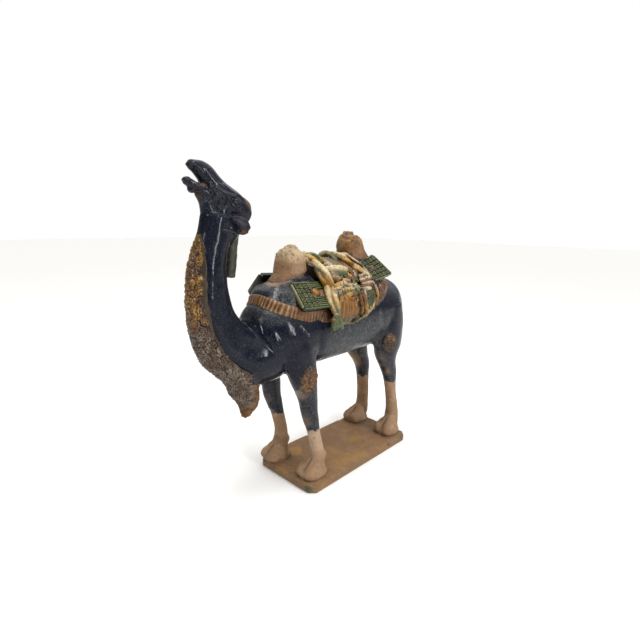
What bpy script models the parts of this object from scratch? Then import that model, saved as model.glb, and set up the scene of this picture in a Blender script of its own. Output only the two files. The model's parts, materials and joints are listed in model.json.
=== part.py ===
"""Glazed earthenware camel with a pack load, standing on a thin plinth.

The animal faces -Y, its left side is +X, and Z = 0 is the underside of the plinth.
The figure, its load and its plinth were luted together and fired as one piece,
so the whole work is one closed solid.
"""
import math

import bmesh
import bpy
import numpy as np
from mathutils import Matrix, Vector

MM = 0.001

# Every size and row below is in millimetres; the meshes are scaled to metres at the end

# Plinth: its middle line lies a little to the left of the animal's
PLINTH_LENGTH = 400
PLINTH_WIDTH = 200
PLINTH_HEIGHT = 19.7
PLINTH_CORNER = 16
PLINTH_CENTRE_X = 12

# How the separate forms are run together, as slip runs over luted joints
VOXEL = 3.2
SMOOTH_ROUNDS = 5
DECIMATE_RATIO = 0.038

# Rings of the loft: points around, and rows put between two named rows
RING_POINTS = 32
ROWS_BETWEEN = 4

# Trunk: y, height of the centre, half width, half height
TRUNK = (
    (-288, 366, 44, 58),
    (-268, 368, 70, 80),
    (-225, 373, 86, 89),
    (-160, 377, 90, 92),
    (-60, 379, 91, 93),
    (50, 381, 90, 94),
    (125, 385, 86, 97),
    (178, 382, 77, 94),
    (214, 377, 60, 78),
    (234, 371, 38, 53),
)

# Humps: height, y, half width, half length
FRONT_HUMP = (
    (425, -168, 82, 112),
    (458, -168, 74, 98),
    (480, -167, 62, 84),
    (496, -167, 48, 62),
    (509, -168, 38, 42),
    (528, -168, 35, 36),
    (547, -166, 33, 33),
    (560, -165, 27, 27),
    (568, -164, 14, 14),
)
REAR_HUMP = (
    (430, 70, 82, 110),
    (470, 66, 70, 88),
    (505, 56, 54, 62),
    (535, 48, 42, 45),
    (558, 43, 34, 34),
    (578, 37, 31, 30),
    (591, 34, 25, 25),
    (597, 34, 14, 14),
)

# Neck with its front mane: y, z, half width, half depth across the sweep of the neck
NECK = (
    (-215, 350, 72, 68),
    (-262, 340, 70, 70),
    (-309, 343, 62, 67),
    (-350, 374, 50, 61),
    (-373, 419, 42, 54),
    (-384, 469, 38, 46),
    (-385, 518, 34, 41),
    (-379, 556, 32, 36.5),
    (-365, 598, 30, 33.5),
    (-357, 632, 29, 34),
)

# Mane that hangs below the chest: z, y, half width, half depth
BEARD = (
    (312, -308, 46, 54),
    (288, -306, 38, 44),
    (268, -304, 31, 36),
    (249, -297, 26, 30),
    (232, -295, 22, 26),
    (217, -298, 16, 19),
    (203, -303, 9, 11),
)

# Skull and upper jaw, and lower jaw: y, z, half width, half height
SKULL = (
    (-302, 636, 22, 25),
    (-317, 645, 28, 31),
    (-340, 660, 30, 32),
    (-361, 677, 26, 27),
    (-375, 694, 22, 23),
    (-387, 710, 20, 19),
    (-399, 721, 18, 14),
    (-411, 727, 14, 8),
)
LOWER_JAW = (
    (-345, 645, 27, 28),
    (-368, 662, 23, 27),
    (-386, 674, 18, 19),
    (-400, 682, 15, 13),
    (-414, 688, 13, 10),
    (-423, 692, 9, 7),
)

# Legs: z, x, y, half width, half length
FRONT_LEFT_LEG = (
    (372, 54, -200, 34, 50),
    (330, 62, -196, 33, 44),
    (286, 65, -186, 30, 36),
    (256, 65, -178, 26, 30),
    (226, 65, -171, 22, 25),
    (196, 65, -166, 20, 21.5),
    (166, 65, -159, 18, 18.5),
    (135, 65, -150, 15.5, 16),
    (105, 65, -142, 15, 15.5),
    (75, 65, -136, 17, 18),
    (46, 65, -140, 22, 22),
)
FRONT_RIGHT_LEG = (
    (372, -52, -200, 34, 50),
    (330, -58, -195, 33, 44),
    (286, -60, -188, 30, 34),
    (257, -60, -182, 26, 27),
    (232, -60, -179, 24, 25),
    (208, -60, -176, 22, 23),
    (184, -59, -170, 20, 21),
    (159, -58, -163, 18, 18.5),
    (135, -57, -157, 16.5, 17),
    (110, -57, -151, 16.5, 17),
    (86, -57, -148, 17.5, 18),
    (48, -57, -152, 22, 22),
)
HIND_LEFT_LEG = (
    (400, 46, 152, 36, 62),
    (345, 55, 150, 34, 62),
    (300, 60, 148, 31, 56),
    (267, 61, 146, 26, 42),
    (238, 61, 152, 22, 29),
    (209, 61, 164, 20, 24),
    (180, 61, 171, 18, 19.5),
    (151, 61, 176, 16, 16),
    (122, 61, 182, 16, 16),
    (93, 61, 188, 17, 18),
    (64, 61, 190, 20, 20),
    (44, 61, 186, 22, 22),
)
HIND_RIGHT_LEG = (
    (400, -46, 152, 36, 62),
    (345, -54, 152, 34, 62),
    (300, -55, 152, 31, 56),
    (262, -54, 156, 26, 42),
    (232, -53, 168, 23, 30),
    (203, -52, 180, 22, 25),
    (165, -52, 186, 19, 20),
    (127, -52, 189, 18, 18),
    (90, -52, 190, 18, 19),
    (64, -52, 188, 20, 20),
    (44, -52, 184, 22, 22),
)

# Feet: x and y of the pad's middle; the pad and the domed toes are the same on all four
FEET = ((66, -150), (-58, -161), (64, 168), (-54, 166))
FOOT_HALF_WIDTH = 33
FOOT_HALF_LENGTH = 40
FOOT_CROWN = 62

# Tail: y, z, radius
TAIL = ((222, 434, 11), (238, 408, 10), (246, 372, 9), (245, 336, 10), (240, 303, 11), (236, 278, 7))

# Load: one of each on either side, x measured outwards from the middle
# A path is x, y, z; the trim is y, z and a share of its half width; a roll or bundle row ends in its radii
SACK_CENTRE = (92, -27, 437)
SACK_HALF = (33, 78, 48)
BOARD_THICKNESS = 9
FRONT_BOARD = ((43, -208, 498), (94, -214, 446), (100, -104, 442), (48, -104, 492))
REAR_BOARD = ((40, 88, 548), (84, 122, 497), (84, 44, 484), (40, 22, 526))
TRIM_HEIGHT = 15
TRIM_BULGE = 7
TRIM = ((-258, 457, 0.0), (-252, 452, 0.35), (-236, 443, 0.6), (-212, 434, 0.79), (-180, 426, 0.92),
        (-120, 420, 0.98), (-40, 418, 0.98), (50, 430, 0.95), (105, 452, 0.75), (142, 472, 0.45), (158, 480, 0.0))
TRIM_HALF_WIDTH = 92
FAR_BOARD_LIFT = 12
BUNDLE = ((-62, 500, 60, 30), (-34, 510, 62, 32), (0, 514, 62, 33), (34, 510, 62, 32), (62, 500, 60, 30))
BUNDLE_Y = -54
ROLLS = ((-72, 517, 17), (-36, 521, 19), (2, 517, 18))
ROLL_HALF_LENGTH = 72
ROLL_DROOP = 30
FRONT_ROPE = ((0, -118, 547), (38, -110, 535), (62, -112, 516), (84, -108, 486), (102, -116, 452), (108, -110, 412))
REAR_ROPE = ((0, -46, 538), (26, -26, 546), (48, -12, 535), (68, 6, 515), (86, 28, 489))
ROPE_RADIUS = 7
TASSEL = ((108, -108, 412, 9), (108, -100, 398, 14), (103, -96, 382, 15))


def fresh_scene():
    for thing in list(bpy.data.objects):
        bpy.data.objects.remove(thing, do_unlink=True)


def collection(name):
    group = bpy.data.collections.new(name)
    bpy.context.scene.collection.children.link(group)
    return group


def fired_glaze():
    material = bpy.data.materials.new("dark_blue_glaze")
    material.use_nodes = True
    shader = material.node_tree.nodes["Principled BSDF"]
    shader.inputs["Base Color"].default_value = (0.012, 0.016, 0.032, 1)
    shader.inputs["Roughness"].default_value = 0.3
    shader.inputs["Metallic"].default_value = 0
    return material


def in_metres(bm, name):
    bmesh.ops.scale(bm, vec=(MM, MM, MM), verts=bm.verts)
    mesh = bpy.data.meshes.new(name)
    bm.to_mesh(mesh)
    bm.free()
    return mesh


def fill_in(rows, between=ROWS_BETWEEN):
    """Rows read from a smooth curve through the named rows."""
    rows = np.array(rows, float)
    out = []
    for i in range(len(rows) - 1):
        before = rows[max(i - 1, 0)]
        after = rows[min(i + 2, len(rows) - 1)]
        here, there = rows[i], rows[i + 1]
        for t in np.arange(between) / between:
            out.append(0.5 * (2 * here + (there - before) * t
                              + (2 * before - 5 * here + 4 * there - after) * t ** 2
                              + (3 * here - before - 3 * there + after) * t ** 3))
    out.append(rows[-1])
    return out


def round_end(row, towards):
    """Three shrinking rows that close a limb with a rounded end."""
    along = (row[:3] - towards[:3]) / np.linalg.norm(row[:3] - towards[:3])
    reach = 0.6 * min(row[3], row[4])
    for angle in (30, 60, 85):
        turn = math.radians(angle)
        yield np.concatenate([row[:3] + along * reach * math.sin(turn), row[3:] * math.cos(turn)])


def ring(bm, row, direction, side, cap=False):
    """One flat ring of a loft, square to the direction of travel."""
    across = (side - direction * side.dot(direction)).normalized()
    deep = direction.cross(across)
    place = Matrix.Identity(4)
    for i in range(3):
        place[i][0], place[i][1], place[i][2] = across[i] * row[3], deep[i] * row[4], direction[i]
        place[i][3] = row[i]
    made = bmesh.ops.create_circle(bm, segments=RING_POINTS, radius=1, cap_ends=cap, matrix=place)
    return {edge for vert in made["verts"] for edge in vert.link_edges}


def limb(bm, rows, side=(1, 0, 0)):
    """Closed loft through rows of x, y, z, half width and half depth, in millimetres."""
    rows = fill_in(rows)
    rows = list(round_end(rows[0], rows[1]))[::-1] + rows + list(round_end(rows[-1], rows[-2]))
    side = Vector(side)
    last = len(rows) - 1
    previous = None
    for i, row in enumerate(rows):
        ahead, behind = rows[min(i + 1, last)], rows[max(i - 1, 0)]
        direction = Vector(ahead[:3] - behind[:3]).normalized()
        edges = ring(bm, row, direction, side, cap=i in (0, last))
        if previous is not None:
            bmesh.ops.bridge_loops(bm, edges=list(previous | edges))
        previous = edges


def ball(bm, centre, half):
    place = Matrix.Translation(Vector(centre)) @ Matrix.Diagonal((*half, 1))
    bmesh.ops.create_uvsphere(bm, u_segments=32, v_segments=18, radius=1, matrix=place)


def board(bm, corners, mirror, lift=0):
    """Flat slab with its outer face on the four corners."""
    verts = [bm.verts.new(Vector((mirror * x, y, z + lift))) for x, y, z in corners]
    outward = (verts[1].co - verts[0].co).cross(verts[3].co - verts[0].co).normalized()
    if outward.x * mirror < 0:
        outward.negate()
    face = bm.faces.new(verts)
    grown = bmesh.ops.extrude_face_region(bm, geom=[face], use_keep_orig=True)
    moved = [item for item in grown["geom"] if isinstance(item, bmesh.types.BMVert)]
    bmesh.ops.translate(bm, verts=moved, vec=-BOARD_THICKNESS * outward)


def foot(bm, x, y):
    """Broad pad, its underside buried in the plinth, with two domed toes in front and the ankle behind."""
    floor = PLINTH_HEIGHT
    width, length = FOOT_HALF_WIDTH, FOOT_HALF_LENGTH
    limb(bm, ((x, y + 1, floor, width - 3, length - 3), (x, y, floor + 9, width, length),
              (x, y + 2, floor + 22, width - 2, length - 5), (x, y + 8, FOOT_CROWN - 4, width - 12, length - 16)))
    for toe in (-1, 1):
        ball(bm, (x + toe * 13, y - 14, floor + 16), (18, 25, 21))
    ball(bm, (x, y + 20, FOOT_CROWN), (18, 18, 20))


def add_body(bm):
    limb(bm, [(0, y, z, w, h) for y, z, w, h in TRUNK])
    for hump in (FRONT_HUMP, REAR_HUMP):
        limb(bm, [(0, y, z, w, h) for z, y, w, h in hump])
    limb(bm, [(0, y, z, w, h) for y, z, w, h in NECK])
    limb(bm, [(0, y, z, w, h) for z, y, w, h in BEARD])
    limb(bm, [(0, y, z, r, r) for y, z, r in TAIL])


def add_head(bm):
    limb(bm, [(0, y, z, w, h) for y, z, w, h in SKULL])
    limb(bm, [(0, y, z, w, h) for y, z, w, h in LOWER_JAW])
    ball(bm, (0, -304, 659), (17, 16, 15))
    limb(bm, ((0, -326, 600, 17, 17), (0, -329, 560, 14, 14), (0, -329, 520, 13, 11)))
    for sign in (-1, 1):
        limb(bm, ((sign * 24, -336, 640, 8, 7), (sign * 31, -322, 627, 11, 8),
                  (sign * 31, -312, 612, 11, 8), (sign * 29, -316, 600, 5, 4)))
        ball(bm, (sign * 25, -334, 667), (9, 11, 9))


def add_legs(bm):
    for leg in (FRONT_LEFT_LEG, FRONT_RIGHT_LEG, HIND_LEFT_LEG, HIND_RIGHT_LEG):
        limb(bm, [(x, y, z, w, h) for z, x, y, w, h in leg])
    for x, y in FEET:
        foot(bm, x, y)


def add_load(bm):
    for sign in (-1, 1):
        x, y, z = SACK_CENTRE
        ball(bm, (sign * x, y, z), SACK_HALF)
        board(bm, FRONT_BOARD, sign, lift=FAR_BOARD_LIFT if sign < 0 else 0)
        board(bm, REAR_BOARD, sign)
        limb(bm, [(sign * wide * TRIM_HALF_WIDTH, y, z, TRIM_BULGE, TRIM_HEIGHT) for y, z, wide in TRIM],
             side=(0.3 * sign, 1, 0))
        for path in (FRONT_ROPE, REAR_ROPE):
            limb(bm, [(sign * x, y, z, ROPE_RADIUS, ROPE_RADIUS) for x, y, z in path], side=(0, 1, 0))
        limb(bm, [(sign * x, y, z, r, r * 0.8) for x, y, z, r in TASSEL])
    limb(bm, [(x, BUNDLE_Y, z, deep, high) for x, z, deep, high in BUNDLE], side=(0, 1, 0))
    for y, z, r in ROLLS:
        limb(bm, [(t * ROLL_HALF_LENGTH, y, z - ROLL_DROOP * t * t, r, r) for t in (-1, -0.5, 0, 0.5, 1)],
             side=(0, 1, 0))


def plinth(group):
    """Thin slab with its four upright corners cut off."""
    bm = bmesh.new()
    size = Matrix.Diagonal((PLINTH_WIDTH, PLINTH_LENGTH, PLINTH_HEIGHT, 1))
    place = Matrix.Translation((PLINTH_CENTRE_X, 0, PLINTH_HEIGHT / 2))
    bmesh.ops.create_cube(bm, size=1, matrix=place @ size)
    upright = [edge for edge in bm.edges if abs(edge.verts[0].co.z - edge.verts[1].co.z) > PLINTH_HEIGHT / 2]
    bmesh.ops.bevel(bm, geom=upright, affect="EDGES", offset=PLINTH_CORNER, segments=1, profile=0.5, material=-1)
    slab = bpy.data.objects.new("plinth_slab", in_metres(bm, "plinth_slab"))
    slab.hide_render = True
    slab.display_type = "WIRE"
    group.objects.link(slab)
    return slab


def camel(group, slab):
    bm = bmesh.new()
    add_body(bm)
    add_head(bm)
    add_legs(bm)
    add_load(bm)
    bmesh.ops.recalc_face_normals(bm, faces=bm.faces)
    mesh = in_metres(bm, "sancai_camel")
    mesh.materials.append(fired_glaze())
    figure = bpy.data.objects.new("sancai_camel", mesh)
    group.objects.link(figure)

    remesh = figure.modifiers.new("run together", "REMESH")
    remesh.mode = "VOXEL"
    remesh.voxel_size = VOXEL * MM
    smooth = figure.modifiers.new("soften", "SMOOTH")
    smooth.factor = 0.5
    smooth.iterations = SMOOTH_ROUNDS
    decimate = figure.modifiers.new("lighten", "DECIMATE")
    decimate.ratio = DECIMATE_RATIO
    union = figure.modifiers.new("stand on plinth", "BOOLEAN")
    union.operation = "UNION"
    union.solver = "EXACT"
    union.object = slab
    return figure


def main():
    fresh_scene()
    parts = collection("sancai_camel")
    cutters = collection("cutters")
    camel(parts, plinth(cutters))


main()
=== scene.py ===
"""Finish of a glazed earthenware camel with a pack load: relief, glazes, bare clay and studio stage."""
import json
import math

import bmesh
import bpy
import numpy as np
from bpy.props import FloatProperty, FloatVectorProperty, IntProperty, PointerProperty
from mathutils import Matrix, Vector
from mathutils.bvhtree import BVHTree

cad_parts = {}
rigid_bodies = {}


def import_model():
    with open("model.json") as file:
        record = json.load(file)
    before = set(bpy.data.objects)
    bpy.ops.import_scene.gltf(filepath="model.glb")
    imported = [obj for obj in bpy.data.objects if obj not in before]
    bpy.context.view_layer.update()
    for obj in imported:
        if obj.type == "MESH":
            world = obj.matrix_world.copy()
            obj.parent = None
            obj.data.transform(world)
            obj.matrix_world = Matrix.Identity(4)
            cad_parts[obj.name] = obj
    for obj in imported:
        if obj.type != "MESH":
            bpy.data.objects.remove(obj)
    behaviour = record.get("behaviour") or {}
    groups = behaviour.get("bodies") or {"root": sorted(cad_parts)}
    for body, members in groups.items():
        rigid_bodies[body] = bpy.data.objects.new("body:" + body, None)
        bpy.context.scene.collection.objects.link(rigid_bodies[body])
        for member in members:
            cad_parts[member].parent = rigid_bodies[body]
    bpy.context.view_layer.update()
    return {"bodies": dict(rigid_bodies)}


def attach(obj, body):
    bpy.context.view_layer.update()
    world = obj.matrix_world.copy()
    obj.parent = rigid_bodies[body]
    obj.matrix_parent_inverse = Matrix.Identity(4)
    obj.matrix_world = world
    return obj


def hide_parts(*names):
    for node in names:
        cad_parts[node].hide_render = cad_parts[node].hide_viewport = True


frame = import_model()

bl_info = {
    "name": "Glazed camel figure",
    "version": (1, 0, 0),
    "blender": (4, 5, 0),
    "location": "View3D > Sidebar > Camel",
    "description": "Models the relief and the running glazes of an earthenware camel with a pack load",
    "category": "Object",
}

NODE = "sancai_camel"
BODY = next(iter(frame["bodies"]))
MM = 0.001

# Every row below is in millimetres. The animal faces -Y and its left side is +X

# Trunk: y, height of the centre, half width, half height
TRUNK = ((-288, 366, 44, 58), (-268, 368, 70, 80), (-225, 373, 86, 89), (-160, 377, 90, 92),
         (-60, 379, 91, 93), (50, 381, 90, 94), (125, 385, 86, 97), (178, 382, 77, 94),
         (214, 377, 60, 78), (234, 371, 38, 53))

# Humps: height, y, half width, half length
FRONT_HUMP = ((425, -168, 82, 112), (458, -168, 74, 98), (480, -167, 62, 84), (496, -167, 48, 62),
              (509, -168, 38, 42), (528, -168, 35, 36), (547, -166, 33, 33), (560, -165, 27, 27),
              (568, -164, 14, 14))
REAR_HUMP = ((430, 70, 82, 110), (470, 66, 70, 88), (505, 56, 54, 62), (535, 48, 42, 45),
             (558, 43, 34, 34), (578, 37, 31, 30), (591, 34, 25, 25), (597, 34, 14, 14))

# Neck: y, z, half width, half depth across the sweep of the neck
NECK = ((-215, 350, 72, 68), (-262, 340, 70, 70), (-309, 343, 62, 67), (-350, 374, 50, 61),
        (-373, 419, 42, 54), (-384, 469, 38, 46), (-385, 518, 34, 41), (-379, 556, 32, 36.5),
        (-365, 598, 30, 33.5), (-357, 632, 29, 34))

# Mane that hangs below the chest: z, y, half width, half depth
BEARD = ((312, -308, 46, 54), (288, -306, 38, 44), (268, -304, 31, 36), (249, -297, 26, 30),
         (232, -295, 22, 26), (217, -298, 16, 19), (203, -303, 9, 11))

# Half width of the strip of mane down the front of the neck: z, x
MANE_EDGE = ((300, 90), (318, 58), (343, 54), (366, 50), (388, 46), (411, 42), (432, 39), (458, 37),
             (481, 34), (519, 30), (546, 28), (574, 23), (588, 17), (600, 9), (611, -5))

SKULL = ((-298, 636, 22, 25), (-312, 645, 28, 30), (-334, 660, 30, 31), (-354, 678, 26, 26),
         (-368, 696, 21, 20.5), (-380, 711, 18, 18.5), (-391, 719, 14.5, 16), (-401, 723.5, 12.5, 12.5),
         (-409, 725.5, 11, 9.5))
LOWER_JAW = ((-341, 645, 27, 28), (-362, 664, 21, 24), (-383, 678, 15, 13), (-398, 685.5, 12.5, 8.5),
             (-411.5, 692, 11.5, 7.5), (-420, 695.5, 9, 6.5))

# Legs: z, x, y, half width, half length
FRONT_LEFT_LEG = ((372, 54, -200, 34, 50), (330, 62, -196, 33, 44), (286, 65, -186, 30, 36),
                  (256, 65, -178, 26, 30), (226, 65, -171, 22, 25), (196, 65, -166, 20, 21.5),
                  (166, 65, -159, 18, 18.5), (135, 65, -150, 15.5, 16), (105, 65, -142, 15, 15.5),
                  (75, 65, -136, 17, 18), (46, 65, -140, 22, 22))
FRONT_RIGHT_LEG = ((372, -52, -200, 34, 50), (330, -58, -195, 33, 44), (286, -60, -188, 30, 34),
                   (257, -60, -182, 26, 27), (232, -60, -179, 24, 25), (208, -60, -176, 22, 23),
                   (184, -59, -170, 20, 21), (159, -58, -163, 18, 18.5), (135, -57, -157, 16.5, 17),
                   (110, -57, -151, 16.5, 17), (86, -57, -148, 17.5, 18), (48, -57, -152, 22, 22))
HIND_LEFT_LEG = ((400, 46, 152, 36, 62), (345, 55, 150, 34, 62), (300, 60, 148, 31, 56),
                 (267, 61, 146, 26, 42), (238, 61, 152, 22, 29), (209, 61, 164, 20, 24),
                 (180, 61, 171, 18, 19.5), (151, 61, 176, 16, 16), (122, 61, 182, 16, 16),
                 (93, 61, 188, 17, 18), (64, 61, 190, 20, 20), (44, 61, 186, 22, 22))
HIND_RIGHT_LEG = ((400, -46, 152, 36, 62), (345, -54, 152, 34, 62), (300, -55, 152, 31, 56),
                  (262, -54, 156, 26, 42), (232, -53, 168, 23, 30), (203, -52, 180, 22, 25),
                  (165, -52, 186, 19, 20), (127, -52, 189, 18, 18), (90, -52, 190, 18, 19),
                  (64, -52, 188, 20, 20), (44, -52, 184, 22, 22))
# Where the dark glaze ends on each leg, by side (left 1) and end (front -1): height
GLAZE_ENDS = {(1, -1): 142, (-1, -1): 147, (1, 1): 180, (-1, 1): 164}

# Feet: x and y of the pad's middle
FEET = ((66, -150), (-58, -161), (64, 168), (-54, 166))
FOOT_HALF_WIDTH = 33
FOOT_HALF_LENGTH = 40
FOOT_CROWN = 62

# Tail: y, z, radius
TAIL = ((222, 434, 11), (238, 408, 10), (246, 372, 9), (245, 336, 10), (240, 303, 11), (236, 278, 7))

# Plinth
PLINTH_LENGTH = 400
PLINTH_WIDTH = 200
PLINTH_HEIGHT = 19.7
PLINTH_CORNER = 16
PLINTH_CENTRE_X = 12

# Ruffled edge of the blanket on one side: y, z, share of its half width
TRIM = ((-258, 457, 0.0), (-252, 452, 0.35), (-236, 443, 0.6), (-212, 434, 0.79), (-180, 426, 0.92),
        (-120, 420, 0.98), (-40, 418, 0.98), (50, 430, 0.95), (105, 452, 0.75), (142, 472, 0.45),
        (158, 480, 0.0))
TRIM_HALF_WIDTH = 92

# Saddle boards, outer face: top front, bottom front, bottom rear, top rear
FRONT_BOARD = ((43, -208, 498), (94, -214, 446), (100, -104, 442), (48, -104, 492))
REAR_BOARD = ((40, 88, 548), (84, 122, 497), (84, 44, 484), (40, 22, 526))
FAR_BOARD = ((46, -220, 499), (94, -222, 449), (100, -104, 442), (48, -104, 492))
BOARD_THICKNESS = 9
BOARD_CORNER = 7
FAR_BOARD_LIFT = 12

# Pack: paths are x, y, z, with x measured outwards
BUNDLE = ((-62, 500, 60, 30), (-34, 510, 62, 32), (0, 514, 62, 33), (34, 510, 62, 32), (62, 500, 60, 30))
BUNDLE_Y = -54

# Camera fitted to the plinth and the outline: place, bearing, height angle, roll, focal length in pixels
CAMERA_PLACE = (732.2, -827.6, 627.5)
CAMERA_BEARING = 43.8677
CAMERA_TILT = 12.9001
CAMERA_ROLL = 0.9876
CAMERA_FOCAL = 427.0
IMAGE_WIDTH = 640


def colour(name, words, value):
    return FloatVectorProperty(name=name, description=words, subtype="COLOR", size=3, min=0, max=1,
                               default=value)


def length(name, words, value):
    return FloatProperty(name=name, description=words, unit="LENGTH", min=0, default=value, precision=4)


class CamelGlazes(bpy.types.PropertyGroup):
    """Colours of the glazes and the clay."""
    night: colour("Night blue", "Thick cobalt glaze of the animal", (0.0030, 0.0040, 0.0120))
    slate: colour("Slate", "Cobalt glaze where it lies thinner", (0.017, 0.020, 0.024))
    worn: colour("Worn glaze", "Scuffed and weathered patches of the dark glaze", (0.150, 0.165, 0.170))
    amber: colour("Amber", "Iron glaze", (0.210, 0.088, 0.008))
    honey: colour("Honey", "Thin bright amber glaze", (0.390, 0.215, 0.035))
    cream: colour("Cream", "Clear glaze over white slip", (0.530, 0.430, 0.245))
    green: colour("Green", "Copper glaze", (0.062, 0.092, 0.032))
    olive: colour("Olive", "Amber and green run together", (0.098, 0.088, 0.032))
    brown: colour("Red brown", "Thick iron glaze", (0.135, 0.058, 0.023))
    umber: colour("Umber", "Dark brown pools of glaze", (0.030, 0.018, 0.011))
    buff: colour("Buff clay", "Bare fired clay of the legs", (0.300, 0.185, 0.105))
    pink: colour("Pink slip", "Pale slip over the bare clay", (0.400, 0.285, 0.195))
    ochre: colour("Ochre clay", "Bare clay of the plinth", (0.225, 0.122, 0.054))
    earth: colour("Earth stain", "Burial stains on bare clay", (0.120, 0.080, 0.050))
    floor: colour("Floor", "Pale studio floor", (0.860, 0.855, 0.848))


class CamelSizes(bpy.types.PropertyGroup):
    """Sizes that set how fine the relief is."""
    body_grain: length("Body mesh", "Spacing of the body's mesh", 0.0031)
    head_grain: length("Head mesh", "Spacing of the head's mesh", 0.00110)
    mane_grain: length("Mane mesh", "Spacing of the mane's mesh", 0.00135)
    patch_grain: length("Patch mesh", "Spacing of the mesh of leg curls and hump tips", 0.0017)
    load_grain: length("Load mesh", "Spacing of the load's mesh", 0.0014)
    curl: length("Curl", "Distance from one curl of hair to the next", 0.0098)
    pleat: length("Pleat", "Distance from one pleat of the trim to the next", 0.0088)
    trim_height: length("Trim height", "Height of the pleated trim", 0.0270)
    ribs: IntProperty(name="Ribs", description="Ribs in each fan of the sack's mouth", default=7, min=3)


def glazes():
    return bpy.context.scene.camel_glazes


def size(name):
    """A size in millimetres."""
    return getattr(bpy.context.scene.camel_sizes, name) / MM


def shade(name):
    return tuple(getattr(glazes(), name))


def between(first, second, share):
    share = min(max(share, 0), 1)
    return tuple(a + (b - a) * share for a, b in zip(first, second))


def run_of(*stops):
    """Glaze that changes along a form: share of the length and colour."""
    def at(share, angle=0):
        for (low, first), (high, second) in zip(stops[:-1], stops[1:]):
            if share <= high:
                return between(first, second, (share - low) / (high - low))
        return stops[-1][1]
    return at


# Noise and curls, worked out for many points at once

def chance(*cells):
    """A fixed number from 0 to 1 for each cell."""
    mixed = np.zeros(len(cells[0]), np.int64)
    for factor, cell in zip((73856093, 19349663, 83492791, 40503), cells):
        mixed = mixed ^ (np.asarray(cell, np.int64) * factor)
    mixed = (mixed ^ (mixed >> 13)) * 1274126177 & 0x7FFFFFFF
    mixed = (mixed ^ (mixed >> 16)) * 668265263 & 0x7FFFFFFF
    return (mixed & 0xFFFFF) / 0xFFFFF


def grain(points, scale, seed=0):
    """Smooth noise from -1 to 1, with a hill or a hollow in each cell of that size."""
    place = points / scale + 17.3 * (seed + 1)
    cell = np.floor(place)
    t = place - cell
    t = t * t * (3 - 2 * t)
    total = np.zeros(len(points))
    for corner in np.ndindex(2, 2, 2):
        weight = np.prod(np.where(np.array(corner), t, 1 - t), axis=1)
        x, y, z = (cell + corner).T
        total += weight * (2 * chance(x, y, z, np.full(len(x), seed)) - 1)
    return total


def rough(points, scale, seed=0, octaves=3):
    """Noise with finer noise on it, from about -1 to 1."""
    return sum(grain(points, scale / 2 ** i, seed + i) / 2 ** i for i in range(octaves)) / 1.6


def step(value, low, high):
    t = np.clip((value - low) / (high - low), 0, 1)
    return t * t * (3 - 2 * t)


def curls(across, along, pitch, seed=0, winds=13.0):
    """Height from 0 to 1 of snail curls in uneven rows, over two lengths measured on a surface."""
    row = np.floor(along / pitch)
    nearest = np.full(len(across), 9.0)
    height = np.zeros(len(across))
    for up in (-1, 0, 1):
        j = row + up
        shift = 0.5 * (j % 2)
        column = np.floor(across / pitch - shift)
        for sideways in (-1, 0, 1):
            i = column + sideways
            lean = [chance(i, j, np.full(len(i), seed + k)) - 0.5 for k in range(3)]
            du = across / pitch - shift - i - 0.5 - 0.55 * lean[0]
            dv = along / pitch - j - 0.5 - 0.55 * lean[1]
            far = np.hypot(du, dv)
            turn = np.arctan2(dv, du) * np.where(lean[2] > 0, 1, -1)
            coil = 0.5 + 0.5 * np.cos(turn - far * winds + 9 * lean[2])
            dome = np.clip(1 - (far / 0.74) ** 4, 0, 1)
            nearer = far < nearest
            height = np.where(nearer, dome * (0.28 + 0.72 * coil), height)
            nearest = np.where(nearer, far, nearest)
    return height


def mark(points, path, width, lift, flat=False):
    """A rounded ridge along a path, or a groove where lift is negative. A flat path is y and z only."""
    places = points[:, 1:] if flat else points
    path = np.array(fill_in(path, 3))
    reach = 3 * width
    near = np.all((places > path.min(0) - reach) & (places < path.max(0) + reach), axis=1)
    out = np.zeros(len(points))
    local = places[near]
    if not len(local):
        return out
    gap = np.full(len(local), 1e9)
    for a, b in zip(path[:-1], path[1:]):
        along = b - a
        t = np.clip((local - a) @ along / max(along @ along, 1e-9), 0, 1)
        gap = np.minimum(gap, np.linalg.norm(local - a - t[:, None] * along, axis=1))
    out[near] = lift * np.exp(-(gap / width) ** 2)
    return out


# Forms

def fill_in(rows, steps=4):
    """Rows read from a smooth curve through the named rows."""
    rows = np.array(rows, float)
    out = []
    for i in range(len(rows) - 1):
        before, after = rows[max(i - 1, 0)], rows[min(i + 2, len(rows) - 1)]
        here, there = rows[i], rows[i + 1]
        for t in np.arange(steps) / steps:
            out.append(0.5 * (2 * here + (there - before) * t
                              + (2 * before - 5 * here + 4 * there - after) * t ** 2
                              + (3 * here - before - 3 * there + after) * t ** 3))
    out.append(rows[-1])
    return out


def round_end(row, towards, blunt=0.6):
    """Three shrinking rows that close a limb with a rounded end."""
    along = (row[:3] - towards[:3]) / np.linalg.norm(row[:3] - towards[:3])
    reach = blunt * min(row[3], row[4])
    for angle in (30, 60, 85):
        turn = math.radians(angle)
        yield np.concatenate([row[:3] + along * reach * math.sin(turn), row[3:] * math.cos(turn)])


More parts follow.
